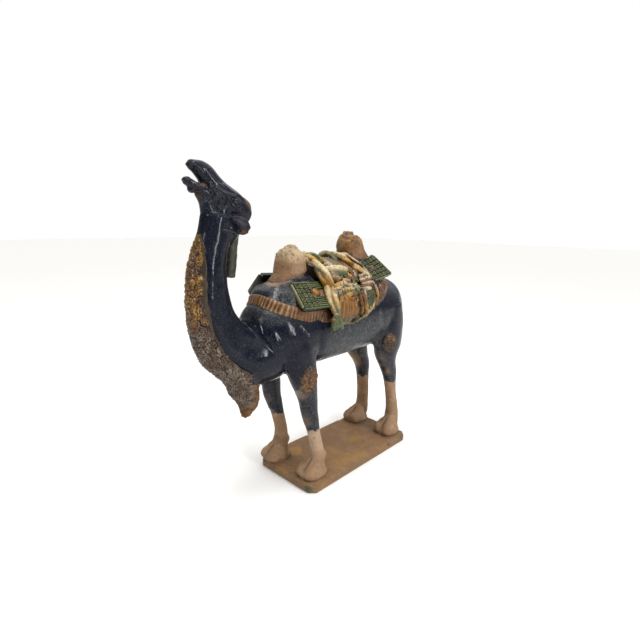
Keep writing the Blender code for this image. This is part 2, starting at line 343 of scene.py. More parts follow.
class Clay:
    """Soft forms on their way to one piece, each brushed with its own glaze."""

    def __init__(self):
        self.bm = bmesh.new()
        self.wash = self.bm.verts.layers.float_color.new("wash")

    def brush(self, verts, glaze, share=0.0):
        for i, vert in enumerate(verts):
            tone = glaze(share, 2 * math.pi * i / len(verts)) if callable(glaze) else glaze
            vert[self.wash] = (*tone, 1)

    def ring(self, row, direction, side, points, shape, share, glaze, cap):
        """One flat ring of a loft, square to the direction of travel."""
        across = (side - direction * side.dot(direction)).normalized()
        deep = direction.cross(across)
        place = Matrix.Identity(4)
        for i in range(3):
            place[i][0], place[i][1], place[i][2] = across[i] * row[3], deep[i] * row[4], direction[i]
            place[i][3] = row[i]
        verts = bmesh.ops.create_circle(self.bm, segments=points, radius=1, cap_ends=cap)["verts"]
        if shape:
            for vert in verts:
                vert.co = shape(vert.co, share)
        bmesh.ops.transform(self.bm, matrix=place, verts=verts)
        self.brush(verts, glaze, share)
        return {edge for vert in verts for edge in vert.link_edges}

    def limb(self, rows, glaze=(0, 0, 0), side=(1, 0, 0), points=32, steps=4, shape=None, blunt=0.6):
        """Closed loft through rows of x, y, z, half width and half depth."""
        rows = fill_in(rows, steps)
        rows = [*list(round_end(rows[0], rows[1], blunt))[::-1], *rows, *round_end(rows[-1], rows[-2], blunt)]
        side = Vector(side)
        last = len(rows) - 1
        previous = None
        for i, row in enumerate(rows):
            ahead, behind = rows[min(i + 1, last)], rows[max(i - 1, 0)]
            direction = Vector(ahead[:3] - behind[:3]).normalized()
            edges = self.ring(row, direction, side, points, shape, i / last, glaze, i in (0, last))
            if previous is not None:
                bmesh.ops.bridge_loops(self.bm, edges=list(previous | edges))
            previous = edges

    def ball(self, centre, half, glaze=(0, 0, 0), fine=1):
        place = Matrix.Translation(Vector(centre)) @ Matrix.Diagonal((*half, 1))
        made = bmesh.ops.create_uvsphere(self.bm, u_segments=24 * fine, v_segments=14 * fine, radius=1,
                                         matrix=place)
        self.brush(made["verts"], glaze)

    def slab(self, low, high, glaze=(0, 0, 0), soft=0.0, segments=2):
        """Box from its low to its high corner, with its edges rounded off."""
        low, high = Vector(low), Vector(high)
        place = Matrix.Translation((low + high) / 2) @ Matrix.Diagonal((*(high - low), 1))
        verts = bmesh.ops.create_cube(self.bm, size=1, matrix=place)["verts"]
        if soft:
            edges = list({edge for vert in verts for edge in vert.link_edges})
            made = bmesh.ops.bevel(self.bm, geom=edges, affect="EDGES", offset=soft, segments=segments,
                                   profile=0.5, material=-1)
            verts = list({vert for face in made["faces"] for vert in face.verts}
                         | {v for v in verts if v.is_valid})
        self.brush(verts, glaze)
        return verts

    def mesh(self, name):
        bmesh.ops.recalc_face_normals(self.bm, faces=self.bm.faces)
        made = bpy.data.meshes.new(name)
        self.bm.to_mesh(made)
        return made

    def press(self, name, spacing, smooth, coloured=False):
        """Runs the forms together into one closed skin of even mesh."""
        raw = self.mesh(name)
        piece = bpy.data.objects.new(name, raw)
        bpy.context.scene.collection.objects.link(piece)
        remesh = piece.modifiers.new("run together", "REMESH")
        remesh.mode = "VOXEL"
        remesh.voxel_size = spacing
        if smooth:
            soften = piece.modifiers.new("soften", "SMOOTH")
            soften.factor = 0.5
            soften.iterations = smooth
        depsgraph = bpy.context.evaluated_depsgraph_get()
        made = bpy.data.meshes.new_from_object(piece.evaluated_get(depsgraph))
        bpy.data.objects.remove(piece)
        bpy.data.meshes.remove(raw)
        made.name = name
        skin = Skin(made)
        if coloured:
            self.bm.faces.index_update()
            tree = BVHTree.FromBMesh(self.bm)
            tones = np.array([np.mean([vert[self.wash][:3] for vert in face.verts], axis=0)
                              for face in self.bm.faces])
            skin.wash = tones[[tree.find_nearest(point)[2] for point in skin.points.tolist()]]
        self.bm.free()
        return skin

    def bake(self, name):
        """The forms as they are, without running them together."""
        made = self.mesh(name)
        skin = Skin(made)
        tones = np.empty(len(skin.points) * 4)
        made.attributes["wash"].data.foreach_get("color", tones)
        made.attributes.remove(made.attributes["wash"])
        skin.wash = tones.reshape(-1, 4)[:, :3]
        self.bm.free()
        return skin


class Skin:
    """Points of one mesh in millimetres, with the marks that its material reads."""

    def __init__(self, mesh):
        self.mesh = mesh
        self.points = self.read(mesh.vertices, "co")
        self.normals = self.read(mesh.vertices, "normal")
        edges = np.empty(len(mesh.edges) * 2, np.int32)
        mesh.edges.foreach_get("vertices", edges)
        self.edges = edges.reshape(-1, 2)
        self.wash = np.zeros((len(self.points), 3))
        self.marks = {}

    @staticmethod
    def read(items, name):
        values = np.empty(len(items) * 3)
        items.foreach_get(name, values)
        return values.reshape(-1, 3)

    def spread(self, values, rounds):
        """Lets values run into their neighbours along the edges."""
        a, b = self.edges.T
        count = len(self.points)
        shares = np.bincount(a, minlength=count) + np.bincount(b, minlength=count) + 1.0
        columns = values.reshape(count, -1).T.copy()
        for _ in range(rounds):
            for column in columns:
                column[:] = (column + np.bincount(a, column[b], count)
                             + np.bincount(b, column[a], count)) / shares
        return columns.T.reshape(values.shape)

    def faces_inward(self):
        """True where the mesh has been turned inside out."""
        self.mesh.update()
        middle = self.points.mean(axis=0)
        return sum((np.array(face.center) - middle) @ np.array(face.normal)
                   for face in self.mesh.polygons) < 0

    def lift(self, height):
        self.points += self.normals * np.asarray(height)[:, None]

    def hollow(self, rounds, depth):
        """How far each point lies below its surroundings, from -1 on a ridge to 1 in a groove."""
        around = self.spread(self.points, rounds)
        below = np.einsum("ij,ij->i", around - self.points, self.normals)
        return np.clip(below / depth, -1, 1)

    def tint(self, share, tone):
        """Brushes a colour over part of the surface."""
        share = np.clip(share, 0, 1)[:, None]
        self.wash = self.wash * (1 - share) + np.array(tone) * share

    def finish(self, material, rounds=3, depth=0.5):
        """Writes the points and marks back and places the piece in the frame."""
        self.marks.setdefault("hollow", self.hollow(rounds, depth))
        mesh = self.mesh
        mesh.vertices.foreach_set("co", (self.points * MM).ravel())
        for name, values in self.marks.items():
            mesh.attributes.new(name, "FLOAT", "POINT").data.foreach_set("value", np.asarray(values, float))
        tones = np.ones((len(self.points), 4))
        tones[:, :3] = self.wash
        mesh.attributes.new("wash", "FLOAT_COLOR", "POINT").data.foreach_set("color", tones.ravel())
        mesh.shade_smooth()
        mesh.update()
        mesh.materials.clear()
        mesh.materials.append(material)
        piece = bpy.data.objects.new(mesh.name, mesh)
        bpy.context.scene.collection.objects.link(piece)
        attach(piece, BODY)
        return piece


# Materials

class Recipe:
    """Short names for the nodes of one material."""

    def __init__(self, name):
        self.material = bpy.data.materials.new(name)
        self.material.use_nodes = True
        self.nodes = self.material.node_tree.nodes
        self.links = self.material.node_tree.links
        self.shader = self.nodes["Principled BSDF"]
        self.place = self.nodes.new("ShaderNodeTexCoord").outputs["Object"]

    def feed(self, socket, value):
        if isinstance(value, bpy.types.NodeSocket):
            self.links.new(value, socket)
        elif isinstance(value, tuple) and len(value) == 3 and socket.type == "RGBA":
            socket.default_value = (*value, 1)
        else:
            socket.default_value = value

    def node(self, kind, inputs, **settings):
        made = self.nodes.new("ShaderNode" + kind)
        for name, value in settings.items():
            setattr(made, name, value)
        for key, value in inputs.items():
            self.feed(made.inputs[key], value)
        return made

    def value(self, name):
        return self.node("Attribute", {}, attribute_name=name).outputs["Fac"]

    def tone(self, name):
        return self.node("Attribute", {}, attribute_name=name).outputs["Color"]

    def stretched(self, stretch):
        return self.node("Mapping", {"Vector": self.place, "Scale": stretch}).outputs["Vector"]

    def noise(self, scale, detail=3.0, roughness=0.55, stretch=None, distortion=0.0):
        """Noise of about that size in millimetres."""
        place = self.stretched(stretch) if stretch else self.place
        return self.node("TexNoise", {"Vector": place, "Scale": 1000 / scale, "Detail": detail,
                                      "Roughness": roughness, "Distortion": distortion}).outputs["Fac"]

    def cells(self, scale, feature="F1"):
        return self.node("TexVoronoi", {"Vector": self.place, "Scale": 1000 / scale},
                         feature=feature).outputs["Distance"]

    def line(self, start, stop, width):
        """1 along the middle of a fine line between two places in millimetres, falling to 0 at its edge."""
        start, stop = Vector(start), Vector(stop)
        reach = (stop - start).length / 2
        place = self.node("Mapping", {"Vector": self.place, "Location": (start + stop) / 2 * MM,
                                      "Rotation": (stop - start).to_track_quat("Z", "Y").to_euler(),
                                      "Scale": (width * MM, width * MM * 6, reach * MM)},
                          vector_type="TEXTURE")
        return self.node("TexGradient", {"Vector": place.outputs["Vector"]},
                         gradient_type="SPHERICAL").outputs["Fac"]

    def math(self, operation, first, second=0.0):
        return self.node("Math", {0: first, 1: second}, operation=operation).outputs[0]

    def ramp(self, value, low, high, start=0.0, end=1.0):
        return self.node("MapRange", {"Value": value, "From Min": low, "From Max": high, "To Min": start,
                                      "To Max": end}, interpolation_type="SMOOTHSTEP").outputs["Result"]

    def mix(self, share, first, second, blend="MIX"):
        made = self.node("Mix", {}, data_type="RGBA", blend_type=blend)
        for index, value in ((0, share), (6, first), (7, second)):
            self.feed(made.inputs[index], value)
        return made.outputs[2]

    def bump(self, height, distance, below=None):
        inputs = {"Height": height, "Distance": distance * MM, "Strength": 1.0}
        if below is not None:
            inputs["Normal"] = below
        return self.node("Bump", inputs).outputs["Normal"]

    def done(self, colour_of, roughness, normal, specular=0.5):
        self.feed(self.shader.inputs["Specular IOR Level"], specular)
        self.feed(self.shader.inputs["Base Color"], colour_of)
        self.feed(self.shader.inputs["Roughness"], roughness)
        self.feed(self.shader.inputs["Normal"], normal)
        return self.material


def bare_clay_tone(mat, base, pale, stain):
    """Colour of bare clay: slip left in patches, burial stains, dark specks."""
    slip = mat.ramp(mat.noise(26, 4), 0.46, 0.66)
    dirt = mat.ramp(mat.noise(17, 5, 0.65), 0.52, 0.74)
    speck = mat.ramp(mat.noise(1.9, 2), 0.66, 0.72)
    tone = mat.mix(mat.math("MULTIPLY", slip, 0.7), base, pale)
    tone = mat.mix(mat.math("MULTIPLY", dirt, 0.55), tone, stain)
    tone = mat.mix(mat.ramp(mat.noise(4.5, 3), 0.3, 0.7, 0.0, 0.35), tone, between(base, (0, 0, 0), 0.45))
    return mat.mix(mat.math("MULTIPLY", speck, 0.6), tone, between(stain, (0, 0, 0), 0.6))


def dark_glaze(name):
    """Cobalt glaze over buff clay. Reads glaze, thin, crackle, slip, hollow, washed and wash."""
    mat = Recipe(name)
    mottle = mat.noise(8, 5, 0.6)
    drip = mat.noise(12, 3, stretch=(1, 1, 0.4))
    edge = mat.math("ADD", mat.value("glaze"), mat.ramp(mottle, 0.3, 0.7, -1.6, 1.6))
    edge = mat.math("ADD", edge, mat.ramp(drip, 0.3, 0.7, -4, 4))
    wet = mat.ramp(edge, -1.6, 1.6)
    hollow = mat.value("hollow")
    thin = mat.value("thin")
    tone = mat.mix(mat.ramp(mat.noise(70, 4, 0.6), 0.42, 0.70, 0.0, 0.3), shade("night"), shade("slate"))
    tone = mat.mix(mat.math("MULTIPLY", thin, mat.ramp(mottle, 0.3, 0.7, 0.3, 1.0)), tone, shade("slate"))
    speck = mat.ramp(mat.noise(2.6, 4, 0.7), 0.50, 0.62)
    tone = mat.mix(mat.math("MULTIPLY", mat.math("MULTIPLY", thin, speck), 0.85), tone,
                   between(shade("slate"), shade("worn"), 0.7))
    hazy = mat.math("MULTIPLY", thin, mat.ramp(mat.noise(9, 4, 0.6), 0.52, 0.70, 0.0, 0.7))
    tone = mat.mix(hazy, tone, between(shade("earth"), shade("worn"), 0.4))
    streaky = mat.ramp(mat.noise(14, 5, 0.6, stretch=(1, 1, 0.3)), 0.5, 0.72)
    tone = mat.mix(mat.math("MULTIPLY", streaky, 0.3), tone, shade("slate"))
    tone = mat.mix(mat.ramp(hollow, -0.3, -0.9, 0.0, 0.3), tone, between(shade("slate"), shade("worn"), 0.25))
    # Pale crackle, and the fine pale lines mixed in below, are crackled glaze that also serves as painted
    # glints of light.
    net = mat.ramp(mat.cells(3.4, "DISTANCE_TO_EDGE"), 0.16, 0.02)
    grit_net = mat.math("MAXIMUM", net, mat.ramp(mat.noise(1.8, 3, 0.6), 0.50, 0.62))
    frayed = mat.math("ADD", mat.value("crackle"), mat.ramp(mat.noise(4.5, 4, 0.65), 0.3, 0.7, -0.35, 0.35))
    frayed = mat.ramp(frayed, 0.35, 0.8)
    crackle = mat.math("MULTIPLY", frayed, mat.math("ADD", 0.15, mat.math("MULTIPLY", grit_net, 0.7)))
    ragged = mat.ramp(mat.noise(3, 3, 0.6), 0.3, 0.7, -0.25, 0.15)
    # Fine pale lines: painted glints of light.
    for start, stop, width in PAINTED_GLINT_LINES:
        line = mat.ramp(mat.math("ADD", mat.line(start, stop, width), ragged), 0.05, 0.5)
        crackle = mat.math("MAXIMUM", crackle, mat.math("MULTIPLY", line, 0.9))
    tone = mat.mix(mat.math("MINIMUM", crackle, 1.0), tone, mat.mix(0.35, shade("worn"), (0.60, 0.60, 0.58)))
    tone = mat.mix(mat.value("washed"), tone, mat.tone("wash"))
    pit = mat.ramp(mat.noise(2.2, 2, 0.5), 0.70, 0.76)
    tone = mat.mix(mat.math("MULTIPLY", pit, 0.2), tone, between(shade("worn"), shade("buff"), 0.4))
    clay = bare_clay_tone(mat, shade("buff"), shade("pink"), shade("earth"))
    clay = mat.mix(mat.math("MULTIPLY", mat.value("slip"),
                            mat.ramp(mat.noise(15, 4, 0.6), 0.3, 0.6, 0.4, 1.0)), clay,
                   shade("pink"))
    clay = mat.mix(mat.ramp(edge, -8.0, -0.5, 0.0, 0.45), clay, between(shade("worn"), shade("pink"), 0.35))
    clay = mat.mix(mat.ramp(hollow, 0.15, 0.8, 0.0, 0.6), clay, shade("earth"))
    tone = mat.mix(wet, clay, tone)
    gloss = mat.ramp(mat.noise(26, 3, 0.5), 0.3, 0.75, 0.08, 0.18)
    gloss = mat.math("ADD", gloss, mat.math("MULTIPLY", thin, 0.25))
    gloss = mat.math("ADD", gloss, mat.math("MULTIPLY", crackle, 0.15))
    roughness = mat.math("MAXIMUM", gloss, mat.ramp(wet, 0.0, 1.0, 0.85, 0.0))
    wave = mat.bump(mat.noise(24, 2), 0.5)
    orange_peel = mat.bump(mat.noise(3.2, 2), 0.04, wave)
    thickness = mat.bump(wet, 0.4, orange_peel)
    dry = mat.math("ADD", mat.math("SUBTRACT", 1.0, wet), mat.math("MULTIPLY", thin, 0.12))
    grit = mat.bump(mat.math("MULTIPLY", mat.noise(0.9, 4, 0.7), dry), 0.45, thickness)
    return mat.done(tone, roughness, grit, 0.17)


def running_glaze(name, gloss=(0.18, 0.45), bare=0.15, pooled=0.75, speckle=0.3):
    """Lead glazes that pool in the hollows and thin out on the ridges. Reads wash and hollow."""
    mat = Recipe(name)
    wash = mat.tone("wash")
    hollow = mat.value("hollow")
    mottle = mat.noise(6, 5, 0.65)
    run = mat.noise(5, 4, 0.6, stretch=(1, 1, 0.35))
    tone = mat.mix(mat.ramp(run, 0.35, 0.7, 0.0, 0.6), wash,
                   mat.mix(1.0, wash, (0.40, 0.33, 0.26), "MULTIPLY"))
    tone = mat.mix(mat.ramp(mottle, 0.55, 0.8, 0.0, 0.3), tone, mat.mix(0.35, wash, shade("cream")))
    deep = mat.mix(1.0, wash, (0.14, 0.09, 0.06), "MULTIPLY")
    tone = mat.mix(mat.math("MULTIPLY", mat.ramp(hollow, 0.0, 0.7), pooled), tone, deep)
    ridge = mat.math("ADD", mat.math("MULTIPLY", hollow, -1.0), mat.ramp(mottle, 0.3, 0.7, -0.35, 0.35))
    tone = mat.mix(mat.ramp(ridge, 0.35, 1.0, 0.0, bare), tone, mat.mix(0.5, wash, shade("pink")))
    fleck = mat.ramp(mat.noise(1.7, 3, 0.6), 0.60, 0.70)
    tone = mat.mix(mat.math("MULTIPLY", fleck, speckle), tone, shade("umber"))
    roughness = mat.ramp(mat.noise(7, 4, 0.6), 0.3, 0.75, *gloss)
    skin = mat.bump(mat.noise(7, 3), 0.5)
    fine = mat.bump(mat.noise(1.3, 4, 0.6), 0.16, skin)
    return mat.done(tone, roughness, fine, 0.32)


def crusty(name):
    """Dry, half-fired slip of the hump tips. Reads wash and hollow."""
    mat = Recipe(name)
    wash = mat.tone("wash")
    hollow = mat.value("hollow")
    tone = mat.mix(mat.ramp(mat.noise(9, 5, 0.65), 0.45, 0.7, 0.0, 0.4), wash,
                   mat.mix(1.0, wash, (0.45, 0.38, 0.32), "MULTIPLY"))
    tone = mat.mix(mat.ramp(mat.noise(4, 4, 0.6), 0.55, 0.72, 0.0, 0.35), tone,
                   mat.mix(0.5, wash, shade("cream")))
    tone = mat.mix(mat.ramp(hollow, 0.1, 0.8, 0.0, 0.75), tone,
                   mat.mix(1.0, wash, (0.2, 0.15, 0.11), "MULTIPLY"))
    tone = mat.mix(mat.ramp(mat.noise(1.4, 3), 0.63, 0.70, 0.0, 0.6), tone, shade("umber"))
    roughness = mat.ramp(mat.noise(5, 3), 0.3, 0.7, 0.45, 0.8)
    grit = mat.bump(mat.noise(1.1, 5, 0.7), 0.4, mat.bump(mat.noise(6, 3), 0.5))
    return mat.done(tone, roughness, grit)


def plinth_clay(name):
    """Coarse ochre clay with dark edges and a few drips of glaze. Reads wash, washed and hollow."""
    mat = Recipe(name)
    tone = bare_clay_tone(mat, shade("ochre"), between(shade("buff"), shade("ochre"), 0.4), shade("earth"))
    warm = mat.ramp(mat.noise(60, 4, 0.6), 0.5, 0.7, 0.0, 0.7)
    tone = mat.mix(warm, tone, between(shade("honey"), shade("ochre"), 0.55))
    tone = mat.mix(mat.value("washed"), tone, mat.tone("wash"))
    tone = mat.mix(mat.ramp(mat.value("hollow"), 0.1, 0.8, 0.0, 0.7), tone, shade("umber"))
    fibre = mat.noise(6, 5, 0.7, stretch=(1, 0.35, 1))
    tone = mat.mix(mat.ramp(fibre, 0.55, 0.75, 0.0, 0.5), tone, shade("earth"))
    roughness = mat.ramp(mat.noise(12, 3), 0.3, 0.7, 0.7, 0.92)
    grit = mat.bump(mat.noise(1.2, 5, 0.7), 0.5, mat.bump(mat.noise(9, 4, 0.6), 0.9))
    return mat.done(tone, roughness, grit)


# Body

def dome_rows(hump, low, grow):
    """Top rows of a hump, from a given height up, a little larger or smaller."""
    return [(0, y, z, w + grow, h + grow) for z, y, w, h in hump if z >= low]


def add_foot(clay, x, y):
    """Broad pad with the two domed toes in front and the ankle behind."""
    floor, width, long = PLINTH_HEIGHT, FOOT_HALF_WIDTH, FOOT_HALF_LENGTH
    clay.limb(((x, y + 2, floor - 1, width - 3, long - 3), (x, y + 1, floor + 8, width, long - 1),
               (x, y + 4, floor + 18, width - 4, long - 8),
               (x, y + 12, FOOT_CROWN - 6, width - 14, long - 19)))
    for toe in (-1, 1):
        clay.ball((x + toe * 15, y - 15, floor + 13), (17, 26, 18))
        clay.ball((x + toe * 13, y - 2, floor + 25), (14, 19, 13))
    clay.ball((x, y + 22, FOOT_CROWN), (17, 18, 17))


BODY_MARKS = (
    # y, z path of a mark on both flanks, width, lift
    (((-262, 400), (-250, 360), (-238, 325), (-228, 300)), 9, -2.4),
    (((-160, 372), (-150, 340), (-150, 312)), 10, -2.2),
    (((78, 400), (90, 360), (103, 325), (112, 296)), 11, -2.4),
    (((-330, 455), (-296, 440), (-268, 415), (-255, 385)), 14, -1.8),
    (((150, 440), (185, 400), (196, 350)), 16, 1.6),
    (((-240, 430), (-215, 400), (-205, 360)), 18, 1.8),
)

LEG_MARKS = (
    # x, y, z path of a mark, width, lift
    (((65, -186, 196), (65, -182, 172), (65, -178, 158)), 9, 2.2),
    (((-60, -196, 208), (-60, -190, 182), (-60, -182, 166)), 9, 2.2),
    (((61, 203, 236), (61, 199, 196), (61, 197, 160)), 6, 1.6),
    (((-52, 212, 222), (-52, 213, 190), (-52, 210, 160)), 6, 1.6),
    (((65, -158, 120), (65, -158, 100)), 8, 1.2),
)

# Pale crackled patches in the dark glaze, which also serve as painted glints of light: x, y, z path, width,
# strength
PALE_CRACKLE_AND_GLINTS = (
    (((12, -204, 530), (16, -206, 516), (24, -222, 500), (34, -238, 482), (40, -254, 464)), 5, 0.8),
    (((44, -246, 474), (50, -252, 460)), 7, 0.55),
    (((30, -290, 425), (40, -284, 430), (58, -262, 430), (70, -244, 428)), 4, 0.42),
    (((86, -212, 408), (88, -200, 396), (90, -192, 388)), 7, 0.5),
    (((-12, -204, 530), (-30, -230, 490), (-42, -250, 462)), 5, 0.7),
    (((-86, -150, 400), (-88, -120, 380)), 5, 0.6),
    (((-80, 150, 410), (-84, 130, 380)), 5, 0.6),
)


# Fine pale lines in the dark glaze on the chest, painted glints of light: both ends and the half width
PAINTED_GLINT_LINES = (((37, -286, 430), (48, -286, 394), 1.0), ((-40, -286, 428), (-50, -285, 396), 1.0),
              ((22, -290, 424), (33, -286, 434), 0.9))


def toe_marks():
    for x, y in FEET:
        yield ((x, y - 44, 26), (x, y - 38, 40), (x, y - 24, 52), (x, y - 6, 62)), 3.6, -5.0
        for toe in (-1, 1):
            yield ((x + toe * 26, y - 34, 42), (x + toe * 15, y - 42, 36),
                   (x + toe * 6, y - 38, 42)), 2.6, -1.8
            yield ((x + toe * 30, y + 4, 30), (x + toe * 22, y + 14, 48),
                   (x + toe * 12, y + 8, 62)), 4.0, -2.2


def boards():
    """The four saddle boards: corners, side and lift."""
    return [(FRONT_BOARD, 1, 0), (FAR_BOARD, -1, FAR_BOARD_LIFT), (REAR_BOARD, 1, 0), (REAR_BOARD, -1, 0)]


def sink_under(points, corners, sign, lift):
    """Presses the surface down where a saddle board lies on it."""
    a, b, c, d = [np.array((sign * x, y, z + lift), float) for x, y, z in corners]
    outward = np.cross(b - a, d - a)
    outward *= np.sign(outward[0] * sign) / np.linalg.norm(outward)
    along, down = (c + d - a - b) / 2, (b + c - a - d) / 2
    middle = (a + b + c + d) / 4
    offset = points - middle
    u = offset @ along / (along @ along)
    v = offset @ down / (down @ down)
    over = offset @ outward + 3.5
    inside = step(np.abs(u), 0.60, 0.52) * step(np.abs(v), 0.62, 0.53) * (np.abs(over) < 30)
    return points - outward * (np.maximum(over, 0) * inside)[:, None]


def make_body():
    clay = Clay()
    clay.limb([(0, y, z, w, h) for y, z, w, h in TRUNK])
    for hump in (FRONT_HUMP, REAR_HUMP):
        clay.limb([(0, y, z, w, h) for z, y, w, h in hump])
    clay.limb([(0, y, z, w, h) for y, z, w, h in NECK])
    for leg in (FRONT_LEFT_LEG, FRONT_RIGHT_LEG, HIND_LEFT_LEG, HIND_RIGHT_LEG):
        clay.limb([(x, y, z, w, h) for z, x, y, w, h in leg])
    for x, y in FEET:
        add_foot(clay, x, y)
    skin = clay.press("camel_body", size("body_grain"), 7)
    points = skin.points
    x, y, z = points.T
    sideways = np.abs(skin.normals[:, 0])

    height = 0.9 * rough(points, 46, 3, 2) + 0.35 * grain(points, 15, 5)
    for path, width, lift in BODY_MARKS:
        height += mark(points, path, width, lift, flat=True) * step(sideways, 0.15, 0.6)
    for path, width, lift in (*LEG_MARKS, *toe_marks()):
        height += mark(points, path, width, lift)
    height += 1.3 * rough(points, 16, 7) * step(z, 84, 64) * step(z, 24, 32)
    trim = np.array(TRIM)
    above = z - np.interp(y, trim[:, 0], trim[:, 1])
    inside = step(y, -262, -252) * step(y, 162, 152)
    height += 2.2 * step(above, 0, 8) * inside * step(z, 492, 476)
    under_mane = np.interp(z, *np.array(MANE_EDGE).T) - np.abs(x)
    facing = step(-skin.normals[:, 1], 0.0, 0.3) * step(y, -296, -304)
    height -= 3.5 * step(under_mane, 0, 5) * facing
    skin.lift(height)
    for corners, sign, lift in boards():
        skin.points = sink_under(skin.points, corners, sign, lift)

    side = np.where(x > 0, 1, -1)
    end = np.where(y < 0, -1, 1)
    ends = np.select([(side == s) & (end == e) for s, e in GLAZE_ENDS], list(GLAZE_ENDS.values()))
    skin.marks["glaze"] = z - ends + 4 * grain(points, 20, 9)
    thin = 0.05 + 0.25 * step(rough(points, 40, 11), 0.2, 0.9)
    thin += 0.75 * step(above, 0, 12) * inside * step(z, 520, 470)
    thin += 0.8 * step(z, 418, 385) * step(z, 270, 300) * step(y, -150, -110) * step(y, 130, 80)
    thin += 0.35 * step(z, 300, 250) + 0.25 * step(y, 120, 180)
    thin += 0.5 * step(np.hypot((y + 262) / 34, (z - 432) / 22), 1.2, 0.5)
    skin.marks["thin"] = np.clip(thin, 0, 1.2)
    # Pale crackle that also serves as painted glints of light.
    crackle = np.zeros(len(points))
    for path, width, strength in PALE_CRACKLE_AND_GLINTS:
        crackle += mark(points, path, width, strength)
    skin.marks["crackle"] = np.clip(crackle, 0, 1)
    belly = step(z, 296, 286) * step(-skin.normals[:, 2], 0.1, 0.6) * (np.abs(y + 20) < 190)
    belly = belly * step(grain(points, 24, 15), -0.6, 0.3)
    cap = (step(z + 5 * grain(points, 13, 17) - 0.35 * (y + 168), 508, 516)
           * step(y, -100, -110) * step(y, -240, -230))
    rear_cap = step(z + 4 * grain(points, 13, 18), 540, 548) * step(y, -30, -20)
    skin.wash[:] = between(shade("buff"), shade("worn"), 0.3)
    skin.tint(cap, between(shade("brown"), shade("buff"), 0.5))
    skin.tint(rear_cap, shade("brown"))
    dusty = step(above, 16, 2) * step(above, -2, 2) * inside * step(grain(points, 18, 19), -0.5, 0.5)
    skin.tint(dusty, between(shade("buff"), shade("slate"), 0.45))
    skin.marks["washed"] = np.clip(0.8 * belly + 0.9 * cap + 0.9 * rear_cap + 0.7 * dusty, 0, 1)
    left_fore = (x > 20) & (y < 0)
    skin.marks["slip"] = np.where(left_fore, step(z, 55, 100) * step(z, 165, 140), 0.0)
    spot = np.linalg.norm(points - np.array((76, -158, 121)), axis=1)
    skin.marks["slip"] -= 2.0 * step(spot, 4.0, 2.5)
    piece = skin.finish(dark_glaze("dark_glaze"), 5, 1.6)
    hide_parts(NODE)
    return piece


# Head

HEAD_MARKS = (
    # y, z path of a mark on both cheeks, width, lift
    (((-421, 721), (-411, 708), (-403, 699), (-394, 691), (-386, 688)), 2.4, 1.3),
    (((-414, 722), (-409, 715), (-402, 711)), 1.9, -2.4),
    (((-416, 728), (-407, 724), (-398, 719), (-392, 712)), 2.2, 1.4),
    (((-402, 704), (-394, 697), (-386, 694)), 2.0, -1.3),
    (((-422, 698), (-412, 697), (-402, 690), (-393, 685), (-384, 688)), 2.2, 1.6),
    (((-424, 688), (-412, 683), (-398, 677)), 2.6, -1.7),
    (((-386, 697), (-380, 694), (-379, 688), (-384, 685)), 2.0, 2.0),
    (((-380, 690), (-374, 684), (-368, 675), (-374, 666), (-382, 659)), 2.2, 2.1),
    (((-376, 677), (-378, 668), (-386, 661)), 3.4, -1.6),
    (((-372, 688), (-357, 680), (-344, 675), (-331, 674)), 2.4, 1.9),
    (((-369, 682), (-360, 674), (-355, 664), (-360, 652)), 3.0, -1.7),
    (((-364, 672), (-362, 660), (-368, 648), (-374, 640)), 2.6, 1.7),
    (((-398, 614), (-387, 614), (-370, 612), (-350, 608), (-336, 605)), 3.4, 3.0),
    (((-396, 622), (-378, 620), (-362, 618), (-346, 614)), 3.2, -1.6),
    (((-354, 693), (-342, 684), (-330, 679), (-318, 674), (-308, 667)), 3.2, 1.9),
    (((-380, 716), (-368, 703), (-357, 695)), 2.8, -1.2),
    (((-318, 657), (-312, 646), (-314, 637)), 3.0, -1.5),
    (((-346, 642), (-334, 640), (-326, 641)), 3.0, -1.4),
)
EYE = (-335, 660.5)


def eye_ring(reach, tilt=0.75):
    """Almond path round the eye: y and z."""
    turns = [2 * math.pi * i / 12 for i in range(13)]
    return [(EYE[0] + reach * math.cos(t), EYE[1] + tilt * reach * math.sin(t) - 0.25 * reach * math.cos(t))
            for t in turns]


